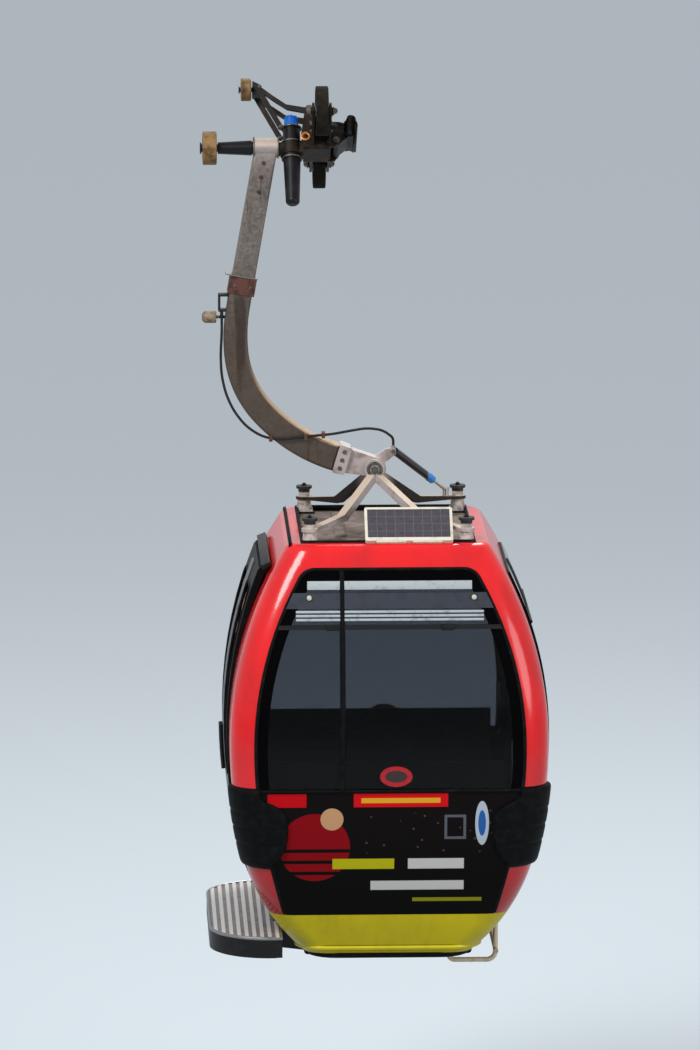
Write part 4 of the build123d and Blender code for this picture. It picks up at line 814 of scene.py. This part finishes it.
def oval_mark(side, name):
    """Thin oval plate that follows the pane."""
    bm = bmesh.new()
    upright = Matrix.Rotation(pi / 2, 4, "X")
    bmesh.ops.create_circle(bm, cap_ends=True, segments=40, radius=1.0, matrix=upright)
    grown = bmesh.ops.extrude_face_region(bm, geom=list(bm.faces))["geom"]
    lifted = {v for v in grown if isinstance(v, bmesh.types.BMVert)}
    for v in bm.verts:
        x, z = OVAL_X + 0.085 * v.co.x, OVAL_Z + 0.055 * v.co.z
        v.co = (x, side * (end_depth(x, z) + (0.0016 if v in lifted else -0.0006)), z)
    finished(bm, name, ("oval_vinyl", "printed_panel_film"))


for side, end in ENDS:
    tube("window_bead_" + end, end_window_path(side, -0.002), 0.0095, SEAL)
    sill = [(x, side * (end_depth(x, SILL_Z) + 0.001), SILL_Z) for x in spread(-0.69, 0.69, 15)]
    tube("window_sill_bead_" + end, sill, 0.008, SEAL)
    for name, z, inset, radius, finish in SKIRT_STRIPS:
        tube(name + end, skirt_path(side, z, inset), radius, finish)
    lamps = [((x, side * (end_depth(x, -2.332) + 0.006), -2.316), (0, side, 0), 0.013, 0.020, 20)
             for x in (-0.42, 0.44)]
    shapes("bar_lamps_" + end, drum, lamps, (0.004, 2), LAMP_COVER)
    latches = [((x, side * (end_depth(x, -2.466) + 0.010), -2.466), (0.070, 0.020, 0.032))
               for x in (-0.30, 0.30)]
    shapes("vent_latches_" + end, slab, latches, (0.005, 3), WINDOW_PROFILE)

for side, end in ENDS:
    lean = Matrix.Rotation(side * radians(18), 4, "X")
    for index, (z, high, proud, reach) in enumerate(VENT_SLATS):
        slat = ((0, side * (end_depth(0, z) + proud), z), (2 * reach, 0.005, high), lean)
        shapes("vent_slat_%s_%d" % (end, index), slab, [slat], (0.0015, 2),
               ("pale_vent_plastic", "ribbed_aluminium"))

mullion = [(MULLION_X, -(end_depth(MULLION_X, z) - 0.002), z) for z in spread(-3.318, -2.182, 24)]
tube("window_mullion", mullion, 0.0145, SEAL)

for side, end in ENDS:
    oval_mark(side, "oval_mark_" + end)


# Right side window: rail under the sliding vents and the post between them

VENT_LOW_Z, VENT_HIGH_Z = -2.500, -2.245
rail = [(half_width(VENT_LOW_Z) + 0.016, y, VENT_LOW_Z) for y in spread(-0.46, 0.46, 7)]
tube("side_vent_rail", rail, 0.009, WINDOW_PROFILE)
post = [(half_width(z) + 0.015, 0.0, z) for z in spread(VENT_LOW_Z, VENT_HIGH_Z, 6)]
tube("side_vent_post", post, 0.008, WINDOW_PROFILE)


# Doors: glazing beads, edge strips, pulls and runners

DOOR_GLASS_Y = (0.055, 0.352)
DOOR_PANES = (("upper", (-3.330, -2.330)), ("lower", (-3.960, -3.440)))


def door_frame_path(y, z, corner):
    """Rounded rectangle on the door's curved face, seen from the side."""
    path = []
    corners = ((y[1] - corner, z[1] - corner, 0), (y[0] + corner, z[1] - corner, 90),
               (y[0] + corner, z[0] + corner, 180), (y[1] - corner, z[0] + corner, 270))
    for mid_y, mid_z, first in corners:
        for angle in (radians(a) for a in spread(first, first + 90, 5)):
            path.append((mid_y + corner * cos(angle), mid_z + corner * sin(angle)))
    full = []
    for (y0, z0), (y1, z1) in zip(path, path[1:] + path[:1]):
        count = max(2, int(abs(z1 - z0) / 0.12) + 2)
        full += [(y0 + (y1 - y0) * t, z0 + (z1 - z0) * t) for t in spread(0, 1, count)[:-1]]
    return [(-door_reach(z) - 0.001, y, z) for y, z in full]


for sign, leaf in ENDS:
    span = sorted(sign * y for y in DOOR_GLASS_Y)
    for name, heights in DOOR_PANES:
        bead = door_frame_path(span, heights, 0.050)
        tube("door_bead_%s_%s" % (leaf, name), bead, 0.0075, SEAL, closed=True)
    edge = [(-door_reach(z) - 0.004, sign * 0.026, z) for z in spread(-4.06, -2.24, 24)]
    tube("door_edge_strip_" + leaf, edge, 0.010, ALUMINIUM)
    pull = [(-door_reach(z) - 0.022, sign * 0.030, z) for z in spread(-3.36, -3.12, 6)]
    tube("door_pull_" + leaf, pull, 0.011, FITTING)

runners = [((-door_reach(-4.088) + 0.012, 0, -4.094), (0.044, 0.860, 0.022)),
           ((-door_reach(-2.190) + 0.030, 0, -2.196), (0.050, 0.900, 0.030),
            Matrix.Rotation(radians(-22), 4, "Y"))]
shapes("door_runners", slab, runners, (0.005, 3), FITTING)


# Bumpers: rubber pads wrapped round each corner, with grooves across and a lobe that reaches inwards

# height, inner edge of the pad on the end wall
PAD_INNER = ((-3.748, 0.690), (-3.730, 0.640), (-3.690, 0.575), (-3.640, 0.545), (-3.560, 0.533),
             (-3.470, 0.533), (-3.430, 0.550), (-3.400, 0.600), (-3.375, 0.655), (-3.340, 0.690),
             (-3.305, 0.720))
PAD_LOW, PAD_HIGH = PAD_INNER[0][0], PAD_INNER[-1][0]
PAD_GROOVES = (-3.62, -3.53, -3.44)
PAD_FLOOR, PAD_FULL, PAD_RIM, GROOVE_DEPTH, GROOVE_WIDTH = 0.001, 0.023, 0.030, 0.006, 0.006


def pad_inner(z):
    """Inner edge of the pad on the end wall at a height."""
    for (z0, x0), (z1, x1) in zip(PAD_INNER, PAD_INNER[1:]):
        if z <= z1:
            return x0 + (x1 - x0) * (z - z0) / (z1 - z0)
    return PAD_INNER[-1][1]


def pad_point(share, z, proud):
    """Point at a share of the way from the pad's inner edge round the corner to its side edge."""
    x_edge, y_edge = half_width(z), half_length(z)
    start_x = pad_inner(z)
    flat = max(x_edge - CORNER - start_x, 0.0)
    turn = CORNER * pi / 2
    side_run = 0.010 if z > PAD_HIGH - PAD_RIM or z < PAD_LOW + PAD_RIM else 0.025
    way = share * (flat + turn + side_run)
    if way < flat:
        return (start_x + way, y_edge + proud)
    if way < flat + turn:
        angle = (way - flat) / CORNER
        reach = CORNER + proud
        return (x_edge - CORNER + reach * sin(angle), y_edge - CORNER + reach * cos(angle))
    return (x_edge + proud, y_edge - CORNER - (way - flat - turn))


def pad_thickness(share, z):
    """Full in the middle, rounded off at the rim, with three shallow grooves."""
    rim = min(share * 0.42, (1 - share) * 0.42, z - PAD_LOW, PAD_HIGH - z) / PAD_RIM
    round_off = sqrt(max(0.0, 1 - (1 - min(rim, 1.0)) ** 2))
    groove = max(exp(-((z - at) / GROOVE_WIDTH) ** 2) for at in PAD_GROOVES)
    return PAD_FLOOR + PAD_FULL * round_off - GROOVE_DEPTH * groove * min(1.0, rim)


bm = bmesh.new()
for side in (-1, 1):
    for sign in (-1, 1):
        pad = set()
        for outer in (True, False):
            grid = bmesh.ops.create_grid(bm, x_segments=30, y_segments=44, size=0.5)["verts"]
            for v in grid:
                share, z = v.co.x + 0.5, PAD_LOW + (v.co.y + 0.5) * (PAD_HIGH - PAD_LOW)
                x, y = pad_point(share, z, pad_thickness(share, z) if outer else -0.002)
                v.co = (sign * x, side * y, z)
            pad.update(grid)
        bmesh.ops.bridge_loops(bm, edges=[e for e in bm.edges if e.is_boundary and e.verts[0] in pad])
pads = finished(bm, "bumper_pads", ("bumper_rubber", "bumper_rubber"))
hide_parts("corner_bumpers")


# Step board: nosing round the tread and a roll under the fascia

def step_edge(inset, z):
    """Outline of the step from one inner corner round to the other."""
    centre_x, radius, straight = -0.626, 0.312, 0.400
    half = [(centre_x - (radius - inset) * cos(radians(a)),
             straight + (radius - inset) * sin(radians(a)), z) for a in spread(96, 0, 14)]
    return half + [(x, -y, z) for x, y, z in reversed(half)]


tube("step_nosing", step_edge(0.004, -4.134), 0.007, ALUMINIUM)
tube("step_lower_roll", step_edge(0.007, -4.236), 0.007, FITTING)


# Roof: mounts' bolts and pads, pan edging, ribs, junction box and the lights on the solar panel's edge

MOUNTS = [(sx * 0.410, sy * 0.500) for sx in (-1, 1) for sy in (-1, 1)]
PAN_X, PAN_Y, PAN_Z = 0.450, 0.540, -2.060
BOX_X, BOX_Y = 0.12, -0.330
base_spots = [((mx + dx, my + dy, -2.052), (0, 0, 1)) for mx, my in MOUNTS
              for dx in (-0.036, 0.036) for dy in (-0.036, 0.036)]
hex_bolts("mount_base_bolts", base_spots, 0.006, ZINC)
top_spots = [((mx, my, -1.9325), (0, 0, 1)) for mx, my in MOUNTS]
hex_bolts("mount_top_nuts", top_spots, 0.014, ("black_fitting_enamel", "mount_rubber"))
edging = [(sx * PAN_X, sy * PAN_Y, PAN_Z) for sx, sy in ((-1, -1), (1, -1), (1, 1), (-1, 1))]
tube("roof_pan_edging", edging, 0.015, SEAL, closed=True)
shapes("roof_ribs", slab, [((x, 0.10, -2.073), (0.060, 0.720, 0.010)) for x in (-0.24, 0.0, 0.24)],
       (0.004, 2), ("weathered_roof_laminate", "weathered_roof_sheet"))
shapes("roof_junction_box", slab, [((BOX_X, BOX_Y, -2.046), (0.150, 0.100, 0.060)),
                                   ((BOX_X, BOX_Y, -2.013), (0.160, 0.110, 0.008))],
       (0.006, 3), FITTING)
panel_place = hung @ Matrix.Translation((0, -0.590, -2.040)) @ Matrix.Rotation(radians(38), 4, "X")
shapes("solar_edge_lights", slab, [((x, -0.003, -0.010), (0.155, 0.010, 0.017)) for x in (0.195, 0.385)],
       (0.003, 2), LAMP_COVER, ("hanger", panel_place))
shapes("mount_pads", slab, [((mx, my, -2.0725), (0.112, 0.112, 0.010)) for mx, my in MOUNTS],
       (0.003, 2), ("epdm_rubber", "mount_rubber"))


# Suspension: pivot nuts and washers, damper bolt, foot bolts

PIVOT = Vector((0.128, 0.0, -1.750))
NOSE = Vector((0.228, 0.0, -1.664))
FOOT_END = Vector((-0.075, 0, -1.691))
FOOT_HEADING = radians(343)
foot_way = Vector((cos(FOOT_HEADING), 0, sin(FOOT_HEADING)))
foot_across = Vector((-foot_way.z, 0, foot_way.x))
washers = [(PIVOT + Vector((0, side * 0.079, 0)), (0, 1, 0), 0.024, 0.042, 0.008) for side in (-1, 1)]
shapes("pivot_washers", ring, washers, (0.002, 2), ZINC, ON_ARM)
pivot_spots = [(PIVOT + Vector((0, side * 0.083, 0)), (0, side, 0)) for side in (-1, 1)]
hex_bolts("pivot_nuts", pivot_spots, 0.026, ZINC, ON_ARM)
damper_spots = [(NOSE + Vector((0, 0.062, 0)), (0, 1, 0)), (NOSE + Vector((0, -0.021, 0)), (0, -1, 0))]
hex_bolts("damper_bolt", damper_spots, 0.010, ZINC, ON_ARM)
collar_spots = [(FOOT_END + foot_way * 0.033 + foot_across * r + Vector((0, side * 0.072, 0)), (0, side, 0))
                for side in (-1, 1) for r in (-0.045, 0.0, 0.045)]
hex_bolts("foot_collar_bolts", collar_spots, 0.010, ZINC, ON_ARM)


# Hanger arm: head rings, plugs, strap bolts and the plate behind the strap

ARM_HEADING = radians(260)
ARM_WAY = Vector((cos(ARM_HEADING), 0, sin(ARM_HEADING)))
ARM_ACROSS = Vector((-ARM_WAY.z, 0, ARM_WAY.x))
ARM_HEAD = Vector((HEAD_X, 0, SHAFT_Z))
head_rings = [((-0.5055, 0, SHAFT_Z), (1, 0, 0), 0.0355, 0.058, 0.007),
              ((-0.3775, 0, SHAFT_Z), (1, 0, 0), 0.0355, 0.058, 0.005)]
shapes("head_seal_rings", ring, head_rings, (0.0015, 2), ZINC, ON_ARM)
plugs = [(ARM_HEAD + ARM_WAY * down + Vector((0, -0.0465 - 0.006 * down, 0)), (0, -1, 0))
         for down in (0.075, 0.150, 0.230)]
hex_bolts("arm_front_plugs", plugs, 0.009, ("oxide_primer", "red_brown_primer"), ON_ARM)
strap_spots = [(ARM_HEAD + ARM_WAY * 0.736 + ARM_ACROSS * r + Vector((0, side * 0.060, 0)), (0, side, 0))
               for side in (-1, 1) for r in (-0.040, 0.040)]
hex_bolts("strap_bolts", strap_spots, 0.009, ZINC, ON_ARM)
edge_plate = (ARM_HEAD + ARM_WAY * 0.686 - ARM_ACROSS * 0.012, (0.172, 0.128, 0.006),
              Matrix.Rotation(radians(10), 4, "Y"))
shapes("strap_edge_plate", slab, [edge_plate], (0.001, 1), ALUMINIUM, ON_ARM)


# Grip: drawn level with the rope along Y, then turned to the rope's slope

FORK_X = -0.154
LINK_X, LINK_Z = -0.364, 0.030
LEVER_X, LEVER_Z = -0.212, 0.123
BUSH_X, BUSH_Y, BUSH_Z = -0.234, 0.092, -0.040
CAPSULE_X = -0.306
pins = [((x, side * 0.095, z), (0, side, 0)) for x, z in ((LEVER_X, LEVER_Z), (-0.075, -0.062))
        for side in (-1, 1)]
hex_bolts("grip_pin_nuts", pins, 0.015, ZINC, ON_GRIP)
axle_ends = [((FORK_X + way * 0.059, end * 0.300, 0), (way, 0, 0)) for way in (-1, 1) for end in (-1, 1)]
hex_bolts("wheel_axle_nuts", axle_ends, 0.021, ZINC, ON_GRIP)
fork_spots = [((FORK_X + way * 0.051, y, z), (way, 0, 0)) for way in (-1, 1)
              for y in (-0.205, -0.125, 0.125, 0.205) for z in (-0.026, 0.026)]
hex_bolts("fork_plate_bolts", fork_spots, 0.009, ZINC, ON_GRIP)
lug_spots = [((x, side * 0.089, z), (0, side, 0)) for side in (-1, 1)
             for x, z in ((-0.112, -0.070), (-0.112, 0.025), (-0.080, 0.025))]
hex_bolts("jaw_root_bolts", lug_spots, 0.010, ZINC, ON_GRIP)
bushes = [((BUSH_X, side * BUSH_Y, BUSH_Z), (0, 1, 0), 0.012, 0.026, 0.010) for side in (-1, 1)]
shapes("bronze_bushes", ring, bushes, (0.002, 2), ("bearing_bronze", "amber_polyurethane"), ON_GRIP)
bush_pins = [((BUSH_X, side * BUSH_Y, BUSH_Z), (0, 1, 0), 0.0125, 0.016, 20) for side in (-1, 1)]
shapes("bush_pins", drum, bush_pins, (0.002, 2), GREASED, ON_GRIP)
clips = [((CAPSULE_X, 0, z), (0, 0, 1), 0.0445, 0.0545, 0.008) for z in (-0.0335, -0.127, 0.052)]
shapes("capsule_clip_rings", ring, clips, (0.0015, 2), ZINC, ON_GRIP)
cap_ribs = [((CAPSULE_X + 0.0350 * cos(a), 0.0350 * sin(a), 0.088), (0.004, 0.004, 0.046),
             Matrix.Rotation(a, 4, "Z")) for a in spread(0, 2 * pi, 17)[:-1]]
shapes("spring_cap_ribs", slab, cap_ribs, None, ("moulded_blue_plastic", "blue_plastic"), ON_GRIP)
fork_ribs = [((FORK_X + way * 0.0525, 0, z), (0.004, length, high)) for way in (-1, 1)
             for z, length, high in ((0.004, 0.300, 0.014), (-0.060, 0.190, 0.010))]
shapes("fork_ribs", slab, fork_ribs, (0.001, 1), GREASED, ON_GRIP)

# body, low x, high x, along the rope, height, bolt circle, count, head size, seal's hole
WHEELS = (
    ("upper_wheel", -0.187, -0.121, -0.300, 0.0, 0.074, 6, 0.009, 0.021),
    ("lower_wheel", -0.187, -0.121, 0.300, 0.0, 0.074, 6, 0.009, 0.021),
    ("guide_roller", -0.774, -0.700, 0.0, -SHAFT_DROP, 0.048, 5, 0.007, 0.021),
    ("lever_roller", -0.568, -0.514, 0.0, 0.285, 0.029, 5, 0.004, 0.013),
)
DISH = 0.012
for body, low_x, high_x, y, z, circle, count, size, hole in WHEELS:
    spots = []
    for x, way in ((low_x + DISH, -1), (high_x - DISH, 1)):
        turn = Vector((way, 0, 0)).to_track_quat("Z", "Y")
        for angle in spread(0, 2 * pi, count + 1)[:-1]:
            out = turn @ Vector((circle * cos(angle), circle * sin(angle), 0))
            spots.append((Vector((x, y, z)) + out, (way, 0, 0)))
    hex_bolts(body + "_bolts", spots, size, ZINC, (body, grip_turn))
    seals = [((x, y, z), (1, 0, 0), hole, circle * 0.46, 0.006, 24) for x in (low_x + 0.001, high_x - 0.001)]
    shapes(body + "_seals", ring, seals, (0.001, 1), ("anodised_profile", "bright_steel"), (body, grip_turn))

lever_spots = [((x, side * 0.069, z), (0, side, 0)) for side in (-1, 1)
               for x, z in ((LINK_X, LINK_Z), (-0.470, 0.268), (LEVER_X, LEVER_Z))]
hex_bolts("lever_bolts", lever_spots, 0.009, ZINC, ON_LEVER)
# The pins end short of the spring capsule, which passes between the cheeks.
link_pins = [((LINK_X, side * 0.0525, LINK_Z), (0, 1, 0), 0.009, 0.007, 16) for side in (-1, 1)]
shapes("lever_link_pins", drum, link_pins, (0.001, 1), ZINC, ON_LEVER)


# Inside, seen through the panes: ceiling board and lamp, door drive, handles, floor ribs, seat shells

shapes("ceiling_board", slab, [((0, 0, -2.104), (0.84, 0.98, 0.012))], (0.003, 2), ALUMINIUM)
shapes("ceiling_lamp", slab, [((0.12, 0, -2.112), (0.10, 0.60, 0.012))], (0.008, 3), LAMP_COVER)
shapes("door_drive_housing", slab, [((-0.505, 0, -2.235), (0.090, 0.88, 0.080))], (0.012, 3), FITTING)
for side, end in ENDS:
    handle = [(0.646, side * y, z) for y, z in ((0.800, -3.075), (0.770, -3.090), (0.765, -3.120),
                                                (0.765, -3.290), (0.770, -3.320), (0.800, -3.335))]
    tube("grab_handle_" + end, handle, 0.014, ALUMINIUM, resolution=4)
shapes("floor_ribs", slab, [((x, 0, -4.1665), (0.030, 0.62, 0.005)) for x in spread(-0.44, 0.44, 12)], None,
       ("epdm_rubber", "ribbed_floor_rubber"))

SEAT_LEAN = 0.040 / 0.528
BACK_Z = -3.440
for side, end in ENDS:
    lean = Matrix.Rotation(-side * atan(SEAT_LEAN), 4, "X")
    shells = []
    for x in (-0.385, 0.0, 0.385):
        shells.append(((x, side * 0.500, -3.714), (0.355, 0.285, 0.012)))
        shells += [((x, side * y, -3.706), (0.300, 0.018, 0.008)) for y in spread(0.405, 0.585, 5)]
        shells.append(((x, side * 0.678, BACK_Z), (0.355, 0.012, 0.420), lean))
        shells += [((x, side * (0.668 + rise * SEAT_LEAN), BACK_Z + rise), (0.300, 0.008, 0.024), lean)
                   for rise in spread(-0.15, 0.15, 6)]
    shapes("seat_shells_" + end, slab, shells, (0.0035, 2), ("seat_plastic", "seat_shell_plastic"))


# Underneath: frame bolts and the guide bow's foot flanges

under_spots = [((x, y, -4.283), (0, 0, -1)) for x in (-0.370, 0.370) for y in spread(-0.40, 0.40, 5)]
hex_bolts("underframe_bolts", under_spots, 0.011, ZINC)
flanges = [((0.328, y, -4.287), (0, 0, 1), 0.0125, 0.030, 0.008) for y in (-0.380, 0.380)]
shapes("bow_foot_flanges", ring, flanges, (0.001, 1), ("dusty_galvanised_tube", "guide_bow_galvanised"))


# Studio: one wide pale floor far below the hanging cabin

FLOOR_Z = -5.6
FLOOR_RADIUS = 160.0


def seen(add):
    """1 for what shows straight, in a mirror or through glass, and 0 for the light that falls on things."""
    path = add("LightPath").outputs
    mirrored = add("Math", [path["Is Glossy Ray"], path["Is Transmission Ray"]], "MAXIMUM")
    return add("Math", [path["Is Camera Ray"], mirrored], "MAXIMUM")


def floor_cloth():
    """Matte pale grey floor, open when seen from below so that the underside can be looked at."""
    add = start("pale_studio_floor")[0]
    shows = seen(add)
    cloth = add("BsdfDiffuse", {"Color": layered(add, "6d747a", (shows, "c6ced4"))})
    lit = add("AddShader", [cloth, add("Emission", {"Color": "e4eaee", "Strength": 0.16})])
    top = add("MixShader", [shows, cloth, lit])
    below = add("NewGeometry").outputs["Backfacing"]
    add("OutputMaterial", {"Surface": add("MixShader", [below, top, add("BsdfTransparent")])})


def studio():
    bm = bmesh.new()
    low = Matrix.Translation((0, 0, FLOOR_Z))
    bmesh.ops.create_circle(bm, cap_ends=True, segments=96, radius=FLOOR_RADIUS, matrix=low)
    mesh = bpy.data.meshes.new("studio_floor")
    bm.to_mesh(mesh)
    bm.free()
    mesh.materials.append(materials["pale_studio_floor"])
    floor = bpy.data.objects.new("studio_floor", mesh)
    bpy.context.scene.collection.objects.link(floor)


def sky():
    world = bpy.data.worlds.new("overcast")
    world.use_nodes = True
    world.node_tree.nodes.clear()
    add = partial(add_node, world.node_tree)
    strength = add("Math", [seen(add), 0.12, 0.58], "MULTIPLY_ADD")
    add("OutputWorld", {"Surface": add("Background", {"Color": "f2f6f9", "Strength": strength})})
    bpy.context.scene.world = world


def lamp(name, place, aim, size, power):
    """Round soft lamp."""
    data = bpy.data.lights.new(name, "AREA")
    data.shape = "DISK"
    data.size = size
    data.energy = power
    made = bpy.data.objects.new(name, data)
    made.location = place
    made.rotation_euler = (Vector(aim) - Vector(place)).to_track_quat("-Z", "Y").to_euler()
    bpy.context.scene.collection.objects.link(made)


floor_cloth()
studio()
sky()
lamp("key", (-7.0, -9.0, 8.0), (0.1, 0, -2.2), 6.0, 1500)
lamp("fill", (8.0, -8.0, 0.0), (0.1, 0, -2.5), 6.0, 380)
lamp("rim", (3.0, 9.0, 7.0), (0.1, 0, -2.0), 5.0, 600)
